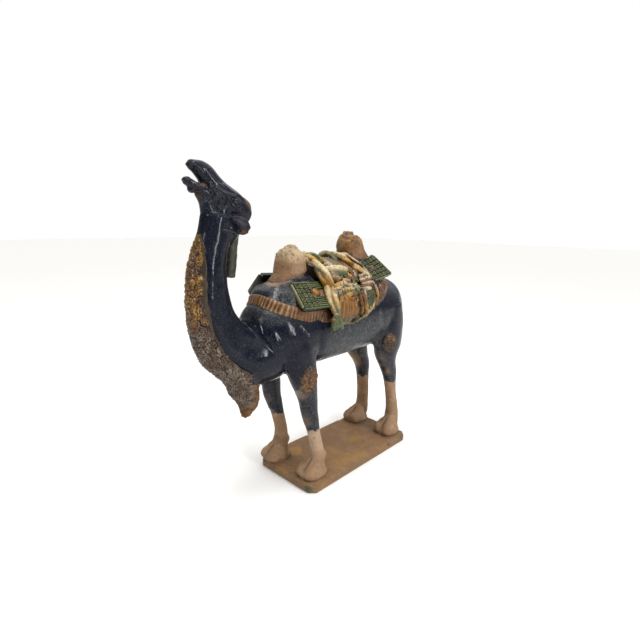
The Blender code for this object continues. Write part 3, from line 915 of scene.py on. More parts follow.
def make_head():
    clay = Clay()
    clay.limb([(0, y, z, w, h) for y, z, w, h in SKULL])
    clay.limb([(0, y, z, w, h) for y, z, w, h in LOWER_JAW])
    clay.limb(((0, -346, 676, 15, 8), (0, -366, 685, 12, 6), (0, -379, 690, 8, 3.5)))
    clay.limb(((0, -334, 622, 25, 33), (0, -344, 612, 28, 34), (0, -356, 602, 28, 33)))
    clay.limb(((0, -360, 594, 27, 31), (0, -363, 612, 25, 29), (0, -369.5, 632, 21, 23),
               (0, -375.5, 648, 16, 17), (0, -384, 664, 12, 12), (0, -396, 677, 9, 8)))
    clay.ball((0, -405, 726), (10, 8, 7.5))
    clay.ball((0, -418, 697.5), (9.5, 8, 6.5))
    clay.ball((0, -408, 683), (10, 9, 8))
    for sign in (-1, 1):
        clay.ball((sign * 8, -404.5, 725.5), (6, 8, 7))
        clay.ball((sign * 27, EYE[0], EYE[1]), (8, 7.5, 7), fine=2)
        clay.ball((sign * 18, -352, 642), (9, 17, 20))
        clay.limb(((sign * 26, -339, 633, 6, 6), (sign * 31, -330, 629, 6.5, 9.5),
                   (sign * 34, -318, 621, 6.5, 10.5), (sign * 34, -309, 614, 5, 6)), blunt=0.9)
        clay.limb(((sign * 27, -330, 608, 6, 5), (sign * 30, -320, 606, 7, 6), (sign * 31, -311, 608, 6, 5)))
        clay.ball((sign * 31, -321, 613), (6, 9, 8))
    skin = clay.press("camel_head", size("head_grain"), 7)
    points = skin.points
    mirrored = np.column_stack([np.abs(points[:, 0]), points[:, 1:]])
    sideways = np.abs(skin.normals[:, 0])
    height = 0.3 * rough(points, 26, 21, 2)
    weight = step(sideways, 0.2, 0.55)
    for path, width, lift in HEAD_MARKS:
        height += mark(points, path, width, lift, flat=True) * weight
    for reach, width, lift in ((6.4, 1.2, -2.4), (9.2, 1.7, 3.0), (11.8, 1.3, -2.2), (14.2, 1.6, 2.0)):
        height += mark(points, eye_ring(reach), width, lift, flat=True) * weight
    height += mark(mirrored, ((33, -336, 630), (39, -327, 626), (42, -318, 620), (39, -311, 614)), 4.0, -3.8)
    height += mark(mirrored, ((0, -424, 694), (0, -419, 703)), 1.6, -1.6)
    height += mark(mirrored, ((0, -421, 722), (0, -417, 731)), 1.6, -1.6)
    skin.lift(height)
    skin.points[:, 1] = np.maximum(skin.points[:, 1], -428.6)
    skin.points[:, 2] = np.minimum(skin.points[:, 2], 733.4)
    x, y, z = skin.points.T
    mirrored[:, 1:] = skin.points[:, 1:]
    mouth = step(np.linalg.norm(np.column_stack([(y + 391) / 12, (z - 690) / 6, x / 15]), axis=1), 1.15, 0.75)
    chin = step(np.linalg.norm(skin.points - np.array((0, -402, 673)), axis=1), 15, 8)
    ear = step(np.linalg.norm(mirrored - np.array((31, -318, 603)), axis=1), 12, 7)
    grey = mark(mirrored, ((36, -330, 629), (40, -318, 620)), 5, 0.5)
    skin.wash[:] = between(shade("umber"), shade("brown"), 0.55)
    skin.tint(step(grey, 0.1, 0.4), between(shade("slate"), shade("worn"), 0.25))
    skin.tint(mouth * 0.8, between(shade("earth"), shade("pink"), 0.25))
    skin.marks["washed"] = np.clip(0.9 * mouth + 0.3 * chin + 0.7 * ear + grey, 0, 1)
    skin.marks["glaze"] = np.full(len(x), 50.0)
    skin.marks["thin"] = 0.1 + 0.25 * step(rough(points, 20, 23), 0.3, 0.9)
    skin.marks["slip"] = np.zeros(len(x))
    return skin.finish(dark_glaze("head_glaze"), 4, 0.5)


def make_tuft():
    """Amber tuft on the crown, and the narrow slab of hair down the nape."""
    clay = Clay()
    amber, honey, umber = shade("amber"), shade("honey"), shade("umber")
    dusk = between(shade("slate"), shade("olive"), 0.25)
    top = run_of((0.0, umber), (0.3, shade("brown")), (0.5, amber), (0.8, between(honey, amber, 0.4)),
                 (1.0, umber))
    clay.limb(((0, -296, 634, 12, 7), (0, -292, 646, 16, 10), (0, -294, 659, 14, 11), (0, -303, 669, 9, 7)),
              top)
    clay.limb(((0, -318, 612, 13, 12), (0, -324, 590, 12, 12), (0, -327, 560, 10.5, 12),
               (0, -330, 530, 9.5, 11.5), (0, -332, 516, 9, 11)), dusk, blunt=0.2)
    skin = clay.press("crown_tuft", size("patch_grain"), 3, coloured=True)
    points = skin.points
    x, y, z = points.T
    strands = np.sin(x * 0.95 + 1.8 * grain(points, 12, 31) + 0.16 * z)
    lines = strands * step(z, 620, 640)
    skin.lift(1.0 * lines + 0.8 * rough(points, 9, 33))
    skin.wash = skin.spread(skin.wash, 3)
    skin.tint(step(strands, -0.1, -0.8) * step(z, 625, 640) * 0.8, umber)
    skin.tint(step(grain(points, 10, 34), 0.1, 0.6) * step(z, 625, 640) * 0.6, shade("brown"))
    skin.tint(step(y, -318, -312) * step(z, 632, 600) * step(z, 500, 520) * 0.55,
              between(shade("brown"), shade("slate"), 0.4))
    return skin.finish(running_glaze("tuft_glaze", gloss=(0.2, 0.4), bare=0.1, speckle=0.5), 3, 0.6)


# Mane

def front_half(place, share):
    """Section that keeps its front arc and is cut flat where the neck takes over."""
    return Vector((place.x, min(place.y, -0.42), 0))


def make_mane():
    clay = Clay()
    clay.limb([(0, y, z, w + 1.2, h - 1.4) for y, z, w, h in NECK[2:]], shape=front_half, points=48)
    clay.limb([(0, y, z, w - 1, h - 1.5) for z, y, w, h in BEARD], points=40)
    skin = clay.press("neck_mane", size("mane_grain"), 5)
    points = skin.points
    x, y, z = points.T
    path = np.array(fill_in([(y, z) for y, z, w, h in NECK[:1:-1]] + [(-318, 322)]
                            + [(y, z) for z, y, w, h in BEARD], 8))
    gaps = np.hypot(y[:, None] - path[:, 0], z[:, None] - path[:, 1])
    nearest = gaps.argmin(axis=1)
    travelled = np.concatenate([[0], np.cumsum(np.linalg.norm(np.diff(path, axis=0), axis=1))])
    heading = np.gradient(path, axis=0)
    heading /= np.linalg.norm(heading, axis=1)[:, None]
    along = travelled[nearest] + np.einsum("ij,ij->i", points[:, 1:] - path[nearest], heading[nearest])
    across = np.arctan2(x, np.maximum(gaps.min(axis=1), 8)) * 44
    inside = np.interp(z, *np.array(MANE_EDGE).T) - np.abs(x) + 2.0 * grain(points, 12, 41)
    free = step(z, 306, 292)
    inside = np.maximum(inside, 40 * free)
    sway = [3.0 * grain(points, 11, seed) + 2.4 * grain(points, 24, seed + 1) for seed in (43, 45)]
    lock = curls(across + sway[0], along + sway[1], size("curl"), 45)
    lock = 0.72 * lock + 0.28 * (0.5 + 0.5 * grain(points, 5.0, 51)) + 0.12 * grain(points, 2.8, 42)
    band = step(inside, 5.5, 3.5)
    relief = lock * (1 - band) + 0.5 * band
    height = 6.4 * relief - 3.0 + 1.9 * rough(points, 15, 47)
    height = np.minimum(height, 3.2) * step(inside, -1, 2.0)
    skin.lift(height)
    outside = step(inside, 1.0, -3)[:, None]
    axis = np.column_stack([np.zeros(len(x)), path[nearest]])
    skin.points += (axis - skin.points) * outside * 0.35
    skin.points[:, 1] = np.maximum(skin.points[:, 1], -429.0)

    shape = relief
    side = np.abs(x)
    tone = rough(points, 30, 48)
    fine = grain(points, 9, 49)
    top = step(z, 415, 455)
    black = between(shade("umber"), shade("night"), 0.4)
    skin.wash[:] = black
    ridge = step(shape, 0.28, 0.58)
    skin.tint(ridge * (0.75 + 0.25 * fine), between(shade("brown"), shade("buff"), 0.3))
    gold = step(tone + 0.6 * fine, -0.55, 0.15) * top * (0.45 + 0.55 * step(side, 3, 14))
    gold = np.maximum(gold, step(z, 565, 595) * step(tone, -0.6, 0.0) * 0.9)
    skin.tint(ridge * gold, between(shade("amber"), shade("honey"), 0.2))
    skin.tint(step(shape, 0.5, 0.8) * gold * step(fine, -0.2, 0.3) * 0.85, shade("honey"))
    skin.tint(step(shape, 0.58, 0.85) * step(grain(points, 6, 52), 0.1, 0.6) * top * 0.6,
              between(shade("cream"), shade("pink"), 0.5))
    low = step(z, 440, 400) * np.maximum(step(z, 205, 235), 0.2)
    skin.tint(ridge * low * (0.7 + 0.3 * fine), between(shade("earth"), shade("slate"), 0.3))
    skin.tint(step(shape, 0.42, 0.8) * low * step(grain(points, 12, 50), -0.5, 0.3) * 0.75,
              between(shade("worn"), shade("pink"), 0.45))
    streak = np.zeros(len(points))
    for sign in (1, -1):
        route = [(sign * x, y, z)
                 for x, y, z in ((36, -372, 384), (40, -352, 362), (45, -330, 336), (46, -314, 312))]
        streak += mark(points, route, 10, 1.4)
    skin.tint(streak * (0.2 + 0.8 * step(shape, 0.25, 0.55)), between(shade("amber"), shade("brown"), 0.3))
    skin.tint(streak * step(shape, 0.5, 0.8) * step(fine, -0.2, 0.5) * 0.7, shade("honey"))
    tip = step(z, 238, 212) + 0.8 * step(z, 304, 266) * step(y, -306, -290)
    skin.tint(tip * (0.4 + 0.6 * step(shape, 0.2, 0.6)), between(shade("amber"), shade("brown"), 0.45))
    edge = step(inside + 2 * fine, 7, 3.5) * (1 - free)
    skin.tint(edge * 0.9, between(between(shade("olive"), shade("umber"), 0.8), shade("night"), 0.4))
    skin.marks["hollow"] = np.clip(0.6 - 1.5 * shape + 0.2 * skin.hollow(3, 0.6), -1, 1)
    return skin.finish(running_glaze("mane_glaze", gloss=(0.30, 0.55), bare=0.08, pooled=0.9, speckle=0.45))


def make_hump_tips():
    """Rough dry caps on the two humps."""
    made = []
    for name, hump, low, base in (("front_hump_tip", FRONT_HUMP, 496, "cream"),
                                  ("rear_hump_tip", REAR_HUMP, 505, "amber")):
        clay = Clay()
        clay.limb(dome_rows(hump, low, 2.2), points=40)
        skin = clay.press(name, 1.2 * size("patch_grain"), 3)
        points = skin.points
        x, y, z = points.T
        front = base == "cream"
        foot = 512 + 0.30 * (y + 168) if front else 541 - 0.1 * x
        edge = z - foot + 4 * rough(points, 20, 51)
        crown = step(z, 540, 556) if front else step(z, 575, 590)
        leaning = points @ np.array(((0.8, 0.36, -0.48), (-0.6, 0.48, -0.64), (0, 0.8, 0.6)))
        lumps = np.abs(rough(leaning, 14, 53)) + 0.4 * np.abs(grain(leaning, 6, 54))
        pits = step(rough(leaning, 9, 59), 0.3, 0.7)
        height = (2.4 * rough(leaning, 26, 55, 2) + (1.6 + 4.0 * crown) * (lumps - 0.35)
                  - (0.4 + 1.0 * crown) * pits)
        skin.lift(np.where(edge > 0, np.minimum(height, 3.4), 0) - 6 * step(edge, 1, -4))
        dirt = step(rough(leaning, 16, 56), -0.1, 0.5)
        if front:
            skin.wash[:] = between(shade("buff"), shade("cream"), 0.35)
            skin.tint(step(z, 550, 534) * 0.85, between(shade("brown"), shade("buff"), 0.45))
            skin.tint(dirt * 0.5, between(shade("earth"), shade("cream"), 0.3))
            skin.tint(step(y, -178, -196) * step(z, 556, 534) * 0.4, shade("amber"))
            skin.tint(step(edge, 11, 0) * 0.8, between(shade("umber"), shade("brown"), 0.5))
            skin.tint(pits * 0.6, shade("earth"))
        else:
            skin.wash[:] = between(shade("amber"), shade("brown"), 0.3)
            streaks = rough(leaning * (1, 1, 0.6), 9, 57)
            skin.tint(step(z, 566, 582) * 0.6, between(shade("amber"), shade("honey"), 0.4))
            skin.tint(step(streaks + 0.3 * step(y, 20, 45), -0.1, 0.4) * 0.85,
                      between(shade("brown"), shade("umber"), 0.4))
            skin.tint(dirt * 0.4, shade("buff"))
            skin.tint(pits * 0.8, shade("umber"))
            skin.tint(mark(points, ((24, 10, 594), (29, 8, 580), (33, 8, 566), (36, 10, 554)), 2.6, 1.2),
                      shade("pink"))
            skin.tint(step(edge, 7, 0) * 0.8, between(shade("umber"), shade("slate"), 0.4))
        made.append(skin.finish(crusty(name + "_slip"), 4, 0.9))
    return made


def make_leg_curls():
    """Patches of curled hair on the outside of the upper legs."""
    made = []
    for name, leg, sign, centre, reach in (
            ("left_foreleg_curls", FRONT_LEFT_LEG, 1, (-192, 284), (23, 36)),
            ("right_foreleg_curls", FRONT_RIGHT_LEG, -1, (-192, 280), (23, 34)),
            ("left_thigh_curls", HIND_LEFT_LEG, 1, (124, 308), (25, 30)),
            ("right_thigh_curls", HIND_RIGHT_LEG, -1, (126, 304), (25, 29))):
        clay = Clay()
        low, high = centre[1] - reach[1] - 8, centre[1] + reach[1] + 8
        rows = [(x + sign * 3.0, y, z, w - 0.6, h - 2) for z, x, y, w, h in fill_in(leg, 4) if low < z < high]
        clay.limb(rows, shape=lambda place, share: Vector((max(place.x * sign, 0.0) * sign, place.y, 0)),
                  points=44, steps=2, blunt=0.2)
        skin = clay.press(name, size("patch_grain"), 3)
        points = skin.points
        x, y, z = points.T
        gap = np.hypot((y - centre[0]) / reach[0], (z - centre[1]) / reach[1]) + 0.12 * rough(points, 14, 61)
        inside = step(gap, 1.08, 0.86) * step(sign * skin.normals[:, 0], 0.0, 0.3)
        sway = [1.8 * grain(points, 10, seed) for seed in (62, 63)]
        lock = curls(y + sway[0], z + sway[1], 12.5, 64, 11.0)
        skin.lift(inside * (4.2 * lock - 0.6 + 0.7 * rough(points, 5, 68)))
        skin.points[:, 0] -= sign * 13 * (1 - inside)
        shape = lock + 0.12 * grain(points, 4, 66)
        fine = grain(points, 10, 65)
        skin.wash[:] = between(shade("umber"), shade("night"), 0.3)
        skin.tint(step(shape, 0.2, 0.6), between(shade("amber"), shade("brown"), 0.7))
        skin.tint(step(shape, 0.35, 0.75) * step(fine, -0.3, 0.4), shade("amber"))
        skin.tint(step(shape, 0.5, 0.85) * step(fine, 0.1, 0.6) * 0.7, shade("honey"))
        skin.tint(step(z, centre[1] - 2, centre[1] - reach[1]) * 0.6,
                  between(shade("brown"), shade("earth"), 0.5))
        skin.tint(step(gap, 0.62, 0.95) * 0.8, between(shade("umber"), shade("slate"), 0.5))
        skin.tint(step(rough(points, 22, 67), -0.5, 0.5) * (0.45 if "foreleg" in name else 0.85),
                  shade("umber"))
        skin.marks["hollow"] = np.clip(0.5 - 1.2 * shape, -1, 1)
        made.append(skin.finish(running_glaze(name + "_glaze", bare=0.08, pooled=0.85, speckle=0.35)))
    return made


def make_tail():
    clay = Clay()
    clay.limb([(0, y, z, r, r) for y, z, r in TAIL])
    skin = clay.press("tail", 1.5, 3)
    points = skin.points
    x, y, z = points.T
    lines = np.sin(x * 1.1 + 0.18 * z + grain(points, 14, 71))
    skin.lift(0.9 * lines * step(z, 370, 330) + 0.4 * rough(points, 9, 72))
    skin.marks["glaze"] = np.full(len(x), 50.0)
    skin.marks["thin"] = np.full(len(x), 0.2)
    skin.marks["slip"] = np.zeros(len(x))
    skin.wash[:] = shade("amber")
    skin.marks["washed"] = step(z, 330, 290) * 0.75
    skin.points[:, 1] = np.minimum(skin.points[:, 1], 260.6)
    return skin.finish(dark_glaze("tail_glaze"), 3, 0.6)


# Blanket trim

def make_trim(body):
    """Pleated ruffle that follows the body all the way round, with painted highlights on the pleat crests,
    painted shade in the grooves, and painted lighter towards the front.
    """
    tree = BVHTree.FromObject(body, bpy.context.evaluated_depsgraph_get())
    half = [(share * TRIM_HALF_WIDTH, y, z) for y, z, share in TRIM]
    loop = [*half, *[(-x, y, z) for x, y, z in half[-2:0:-1]]]
    curve = np.array(fill_in([*loop, loop[0]], 24))
    travelled = np.concatenate([[0], np.cumsum(np.linalg.norm(np.diff(curve, axis=0), axis=1))])
    pleats = round(travelled[-1] / size("pleat"))
    count, around, tall = pleats * 9, 20, size("trim_height")
    spots = np.linspace(0, travelled[-1], count, endpoint=False)
    centres = np.column_stack([np.interp(spots, travelled, curve[:, i]) for i in range(3)])
    found = [tree.find_nearest(Vector(point) * MM) for point in centres]
    centres = np.array([tuple(item[0]) for item in found]) / MM
    normals = np.array([tuple(item[1]) for item in found])
    for _ in range(60):
        normals = (normals + np.roll(normals, 1, 0) + np.roll(normals, -1, 0)) / 3
    travel = np.roll(centres, -6, 0) - np.roll(centres, 6, 0)
    down = np.cross(travel, normals)
    down *= (-np.sign(down[count // 4, 2]) / np.linalg.norm(down, axis=1))[:, None]
    clay = Clay()
    bmesh.ops.create_grid(clay.bm, x_segments=count, y_segments=around, size=0.5)
    cream, amber, brown, umber = shade("cream"), shade("amber"), shade("brown"), shade("umber")
    # pale: colour of the painted highlights on the pleat crests.
    pale = between(shade("pink"), brown, 0.3)
    sway = 1.5 * grain(centres, 34, 82) + 1.1 * grain(centres, 15, 83)
    depth = np.clip(0.55 + 0.7 * grain(centres, 19, 84), 0.1, 1.2)
    tint = grain(centres, 16, 85)
    # bright: the front of the trim is painted lighter than the back. This painted light also sets how strong
    # the painted highlights are.
    bright = 0.15 + 0.85 * step(centres[:, 1], -120, -215)
    for vert in clay.bm.verts:
        i = round((vert.co.x + 0.5) * count) % count
        turn = 2 * math.pi * (round((vert.co.y + 0.5) * around) % around) / around
        low = 0.5 - 0.5 * math.cos(turn)
        fold = math.cos(2 * math.pi * pleats * i / count + 2.6 * sway[i] + 1.1 * low * sway[i])
        drop = (low - 0.5) * tall * (1 + 0.08 * sway[i]) + 1.6 * sway[i] + 0.5 * fold * low
        spot, _, _, _ = tree.find_nearest(Vector(centres[i] + down[i] * drop) * MM)
        out = math.sin(turn)
        ruffle = (0.4 + 0.9 * low) * (1 + fold) * depth[i]
        lift = -3.0 if out < -0.01 else -1.2 + max(out, 0) ** 0.5 * (3.9 + ruffle)
        vert.co = Vector(spot) / MM + Vector(normals[i]) * lift
        # Painted light and shade: lighter towards the front, painted highlights in pale pink and cream on the
        # pleat crests, and painted shade in umber in the grooves, strongest towards the back. The lowest edge
        # is darkened with umber.
        tone = between(between(brown, umber, 0.35), between(brown, amber, 0.4), bright[i])
        tone = between(tone, pale, max(0, fold) * max(0, 0.2 + 0.8 * tint[i]) * (0.4 + 0.6 * bright[i]))
        tone = between(tone, cream, max(0, fold - 0.7) * 3.0 * max(0, tint[i] - 0.1) * bright[i])
        tone = between(tone, umber, max(0, low - 0.86) * 5)
        tone = between(tone, umber, max(0, -fold - 0.35) * 1.1 * (1.2 - 0.7 * bright[i]))
        vert[clay.wash] = (*tone, 1)
    bmesh.ops.remove_doubles(clay.bm, verts=clay.bm.verts, dist=0.001)
    skin = clay.bake("blanket_trim")
    skin.lift(0.7 * rough(skin.points, 7, 81))
    return skin.finish(running_glaze("trim_glaze", gloss=(0.3, 0.55), bare=0.2, pooled=0.85, speckle=0.4),
                       4, 0.9)


# Saddle boards

def board_point(corners, sign, lift, u, v, w):
    """Point of a saddle board: u along it, v down it, w out of its face."""
    a, b, c, d = [Vector((sign * x, y, z + lift)) for x, y, z in corners]
    outward = (b - a).cross(d - a).normalized()
    if outward.x * sign < 0:
        outward.negate()
    return (a * (1 - u) + d * u) * (1 - v) + (b * (1 - u) + c * u) * v + outward * w


def make_board(name, corners, sign, lift, tones, grid):
    """Lattice board: square tiles with a raised frame and a knob, long slats and a bare patch."""
    a, b, c, d = [Vector(corner) for corner in corners]
    long = ((d - a).length + (c - b).length) / 2
    tall = ((b - a).length + (c - d).length) / 2
    leaf, dark, rim = tones
    clay = Clay()

    def box(u0, u1, v0, v1, high, tone, soft=0.6, low=-3.0):
        clay.slab((u0 * long, v0 * tall, low), (u1 * long, v1 * tall, high), tone, soft, 1)

    def tile(u0, u1, v0, v1, tone):
        wide, high = u1 - u0, v1 - v0
        bar, beam = 0.2 * wide, 0.24 * high
        box(u0, u1, v0, v0 + beam, 1.7, tone)
        box(u0, u1, v1 - beam, v1, 1.5, tone)
        box(u0, u0 + bar, v0, v1, 1.8, tone)
        box(u1 - bar, u1, v0 + 0.3 * high, v1, 1.4, tone)
        box(u0 + 0.38 * wide, u0 + 0.68 * wide, v0 + 0.38 * high, v0 + 0.64 * high, 1.6, tone)

    columns, rows, u0, u1, gap, bare = grid
    clay.slab((0, 0, -BOARD_THICKNESS), (long, tall, -0.9), dark)
    upright = [edge for edge in clay.bm.edges if abs(edge.verts[0].co.z - edge.verts[1].co.z) > 3]
    rounded = bmesh.ops.bevel(clay.bm, geom=upright, affect="EDGES", offset=BOARD_CORNER, segments=4,
                              profile=0.5, material=-1)
    clay.brush(rounded["verts"], dark)
    inset = BOARD_CORNER * 0.75
    box(0, 0.045, inset / tall, 1 - inset / tall, 1.9, rim, 1.0, 1 - BOARD_THICKNESS)
    box(inset / long, 1 - inset / long, 0, 0.055, 1.4, leaf)
    box(inset / long, 1 - inset / long, 0.945, 1, 1.2, leaf, 0.8, 1 - BOARD_THICKNESS)
    box(0.96, 1, inset / tall, 1 - inset / tall, 1.2, leaf)
    wide, high = (u1 - u0) / columns, 0.87 / rows
    for row in range(rows):
        for column in range(columns):
            left, top = u0 + column * wide, 0.07 + row * high
            tone = between(leaf, rim, 0.1 + 0.5 * ((row * 2 + column * 3) % 4) / 3)
            tile(left + gap * wide, left + (1 - gap) * wide, top + gap * high, top + (1 - gap) * high, tone)
    if bare:
        for bar in range(3):
            box(u1 + 0.01, 0.95, 0.07 + bar * 0.075, 0.12 + bar * 0.075, 1.1, between(leaf, rim, 0.3))
        for bar in range(5):
            box(u1 + 0.01, 0.95, 0.60 + bar * 0.07, 0.637 + bar * 0.07, 1.2, between(leaf, rim, 0.12 * bar))
        box(u1 + 0.02, 0.95, 0.31, 0.58, 0.3, bare, 0.8)
    skin = clay.bake(name)
    u, v, w = skin.points[:, 0] / long, skin.points[:, 1] / tall, skin.points[:, 2]
    skin.points = np.array([tuple(board_point(corners, sign, lift, *place)) for place in zip(u, v, w)])
    skin.points += 0.5 * np.column_stack([grain(skin.points, 8, 91 + k) for k in range(3)])
    skin.mesh.vertices.foreach_set("co", skin.points.ravel())
    if skin.faces_inward():
        skin.mesh.flip_normals()
    skin.mesh.update()
    skin.normals = skin.read(skin.mesh.vertices, "normal")
    skin.marks["hollow"] = step(w, 0.9, -0.7) * 0.9
    skin.tint(step(grain(skin.points, 16, 95), 0.2, 0.7) * step(w, 0, 1) * 0.45, shade("olive"))
    skin.tint(step(grain(skin.points, 12, 96), 0.35, 0.8) * step(w, 0, 1) * 0.4, shade("umber"))
    return skin.finish(running_glaze(name + "_glaze", gloss=(0.22, 0.45), bare=0.0, pooled=0.7, speckle=0.15),
                       2, 0.8)


def make_stud(name, corners, sign, lift, u, v, reach, tones):
    """Domed disc with a rolled rim on a board."""
    bright, dull = tones
    clay = Clay()
    profile = ((-3, 1.0), (0.2, 1.02), (1.4, 1.02), (2.2, 0.94), (1.5, 0.88), (1.0, 0.80), (2.2, 0.74),
               (3.8, 0.56), (5.0, 0.2))
    rows = [(*board_point(corners, sign, lift, u, v, high), share * reach, share * reach)
            for high, share in profile]

    def glaze(share, angle):
        tone = between(bright, dull, 0.5 - 0.5 * math.sin(angle))
        return shade("umber") if 0.36 < share < 0.64 else tone

    clay.limb(rows, glaze, side=(0, 1, 0), points=48, steps=2, blunt=0.05)
    skin = clay.bake(name)
    skin.lift(0.3 * rough(skin.points, 6, 97))
    skin.tint(step(grain(skin.points, 7, 98), 0.1, 0.6) * 0.5, dull)
    return skin.finish(running_glaze(name + "_glaze", bare=0.0, pooled=0.6, speckle=0.25), 2, 0.6)


def make_boards():
    green, olive, umber, cream = shade("green"), shade("olive"), shade("umber"), shade("cream")
    brown, honey, amber, pink = shade("brown"), shade("honey"), shade("amber"), shade("pink")
    dark = (0.005, 0.008, 0.003)
    made = []
    for word, corners, spot, reach, grid in (
            ("front", FRONT_BOARD, (0.56, 0.40), 12.5, (3, 5, 0.06, 0.42, 0.10, between(pink, brown, 0.6))),
            ("rear", REAR_BOARD, (0.58, 0.45), 9.5, (5, 5, 0.06, 0.95, 0.14, None))):
        for hand, sign in (("left", 1), ("right", -1)):
            far = sign < 0 and word == "front"
            lift = FAR_BOARD_LIFT if far else 0
            shape = FAR_BOARD if far else corners
            # The right-hand boards, on the far side, are painted darker towards umber: painted shade.
            far_side_painted_shade = 0.0 if sign > 0 else 0.7
            leaf = between(green if word == "front" else between(green, (0.15, 0.17, 0.11), 0.5),
                           umber, far_side_painted_shade)
            pale = between(between(green, cream, 0.28), umber, far_side_painted_shade)
            name = f"{word}_{hand}_board"
            made.append(make_board(name, shape, sign, lift, (leaf, dark, pale), grid))
            tones = ((between(amber, honey, 0.35), amber) if word == "front"
                     else (brown, between(brown, olive, 0.5)))
            made.append(make_stud(f"{word}_{hand}_stud", shape, sign, lift, *spot, reach, tones))
    return made


# Pack load

def strand(clay, path, radius, glaze, side=(0, 1, 0), ridges=0, points=16, twist=14, steps=6):
    """A cord along a path of x, y, z with an optional swell."""
    rows = [(*row[:3], *[radius * (row[3] if len(row) > 3 else 1)] * 2) for row in fill_in(path, steps)]
    shape = None
    if ridges:
        shape = lambda place, share: place * (1 + 0.09 * math.cos(ridges * math.atan2(place.y, place.x)
                                                                  + twist * share))
    clay.limb(rows, glaze, side=side, points=points, steps=1, shape=shape)


def flip(path, sign):
    return [(sign * row[0], *row[1:]) for row in path]


# Cords as strands: x, y, z path of each strand, radius, ridges and the glazes along it
FRONT_STRANDS = (
    (((-30, -104, 534), (-16, -118, 546), (2, -119, 552), (14, -110, 552), (24, -101, 545), (32, -94, 535)),
     6.6, ("olive", "honey", "cream", "green", "green", "green")),
    (((2, -126, 541), (12, -124, 541)), 6.5, ("cream", "pink")),
    (((24, -117, 537), (38, -115, 530), (55, -115, 522), (66, -115, 512), (74, -113, 500), (79, -111, 488)),
     7.6, ("honey", "cream", "cream", "cream", "honey", "amber")),
    (((34, -118, 522), (46, -119, 511), (56, -119, 500), (66, -118, 489), (73, -116, 478)), 6.8,
     ("slate", "olive", "honey", "amber", "amber")),
    (((72, -120, 482), (82, -124, 466), (91, -126, 450), (97, -122, 436), (101, -116, 424)), 7.0,
     ("honey", "cream", "cream", "pink", "cream")),
    (((84, -113, 482), (95, -118, 467), (103, -120, 452), (107, -118, 438), (107, -114, 424)), 6.2,
     ("amber", "cream", "cream", "olive", "green")),
)
REAR_STRANDS = (
    (((-30, -44, 535), (-12, -42, 547), (6, -38, 551), (20, -33, 551), (34, -29, 547), (40, -26, 543)), 7.0,
     ("green", "olive", "green", "cream", "cream", "cream")),
    (((36, -28, 545), (46, -25, 538), (56, -22, 531), (64, -19, 526)), 7.2,
     ("amber", "honey", "amber", "amber")),
    (((60, -20, 528), (67, -16, 523), (73, -7, 517), (78, 5, 508), (84, 16, 497)), 6.8,
     ("cream", "cream", "honey", "cream", "olive")),
    (((26, -22, 553), (38, -18, 552), (48, -14, 546), (60, -8, 538), (72, 2, 528), (80, 12, 513),
      (87, 25, 496)), 3.0,
     ("green", "cream", "pink", "cream", "slate", "cream", "olive")),
)


def make_ropes():
    made = []
    for word, sign in (("left", 1), ("right", -1)):
        for end, strands in (("front", FRONT_STRANDS), ("rear", REAR_STRANDS)):
            clay = Clay()
            for path, radius, names in strands:
                glaze = run_of(*[(i / (len(names) - 1), shade(name)) for i, name in enumerate(names)])
                strand(clay, flip(path, sign), radius, glaze, ridges=3, twist=9, points=22)
            skin = clay.press(f"{word}_{end}_cord", 1.5, 2, coloured=True)
            skin.lift(0.7 * rough(skin.points, 9, 101))
            skin.wash = skin.spread(skin.wash, 3)
            skin.tint(step(grain(skin.points, 13, 104), 0.2, 0.7) * 0.5, shade("honey"))
            skin.tint(step(grain(skin.points, 10, 105), 0.4, 0.8) * 0.4, shade("pink"))
            made.append(skin.finish(running_glaze(f"{word}_{end}_cord_glaze", gloss=(0.12, 0.35), bare=0.2,
                                                  pooled=0.7, speckle=0.25), 4, 1.0))
        clay = Clay()
        tassel = run_of((0, shade("cream")), (0.3, shade("olive")), (0.6, shade("green")),
                        (1, shade("green")))
        for i in range(11):
            turn = 2 * math.pi * i / 11
            dx, dy = 6 * math.cos(turn), 15 * math.sin(turn)
            path = [(sign * (104 + 0.4 * dx), -117 + 0.4 * dy, 426),
                    (sign * (105 + 0.8 * dx), -118 + 0.8 * dy, 412),
                    (sign * (104 + dx), -117 + dy, 394 + 4 * math.cos(3 * turn))]
            strand(clay, path, 4.6, tassel, ridges=3, points=12)
        for y, z, reach, tone in ((-131, 412, 6, "brown"), (-126, 404, 7, "olive"), (-104, 404, 8, "green"),
                                  (-116, 400, 8, "olive")):
            clay.ball((sign * 104, y, z), (8, reach, reach), shade(tone))
        skin = clay.press(word + "_tassel", 1.5, 2, coloured=True)
        skin.lift(1.0 * rough(skin.points, 6, 103))
        skin.wash = skin.spread(skin.wash, 2)
        made.append(skin.finish(running_glaze(word + "_tassel_glaze", bare=0.2, pooled=0.85, speckle=0.3),
                                4, 0.9))
    return made


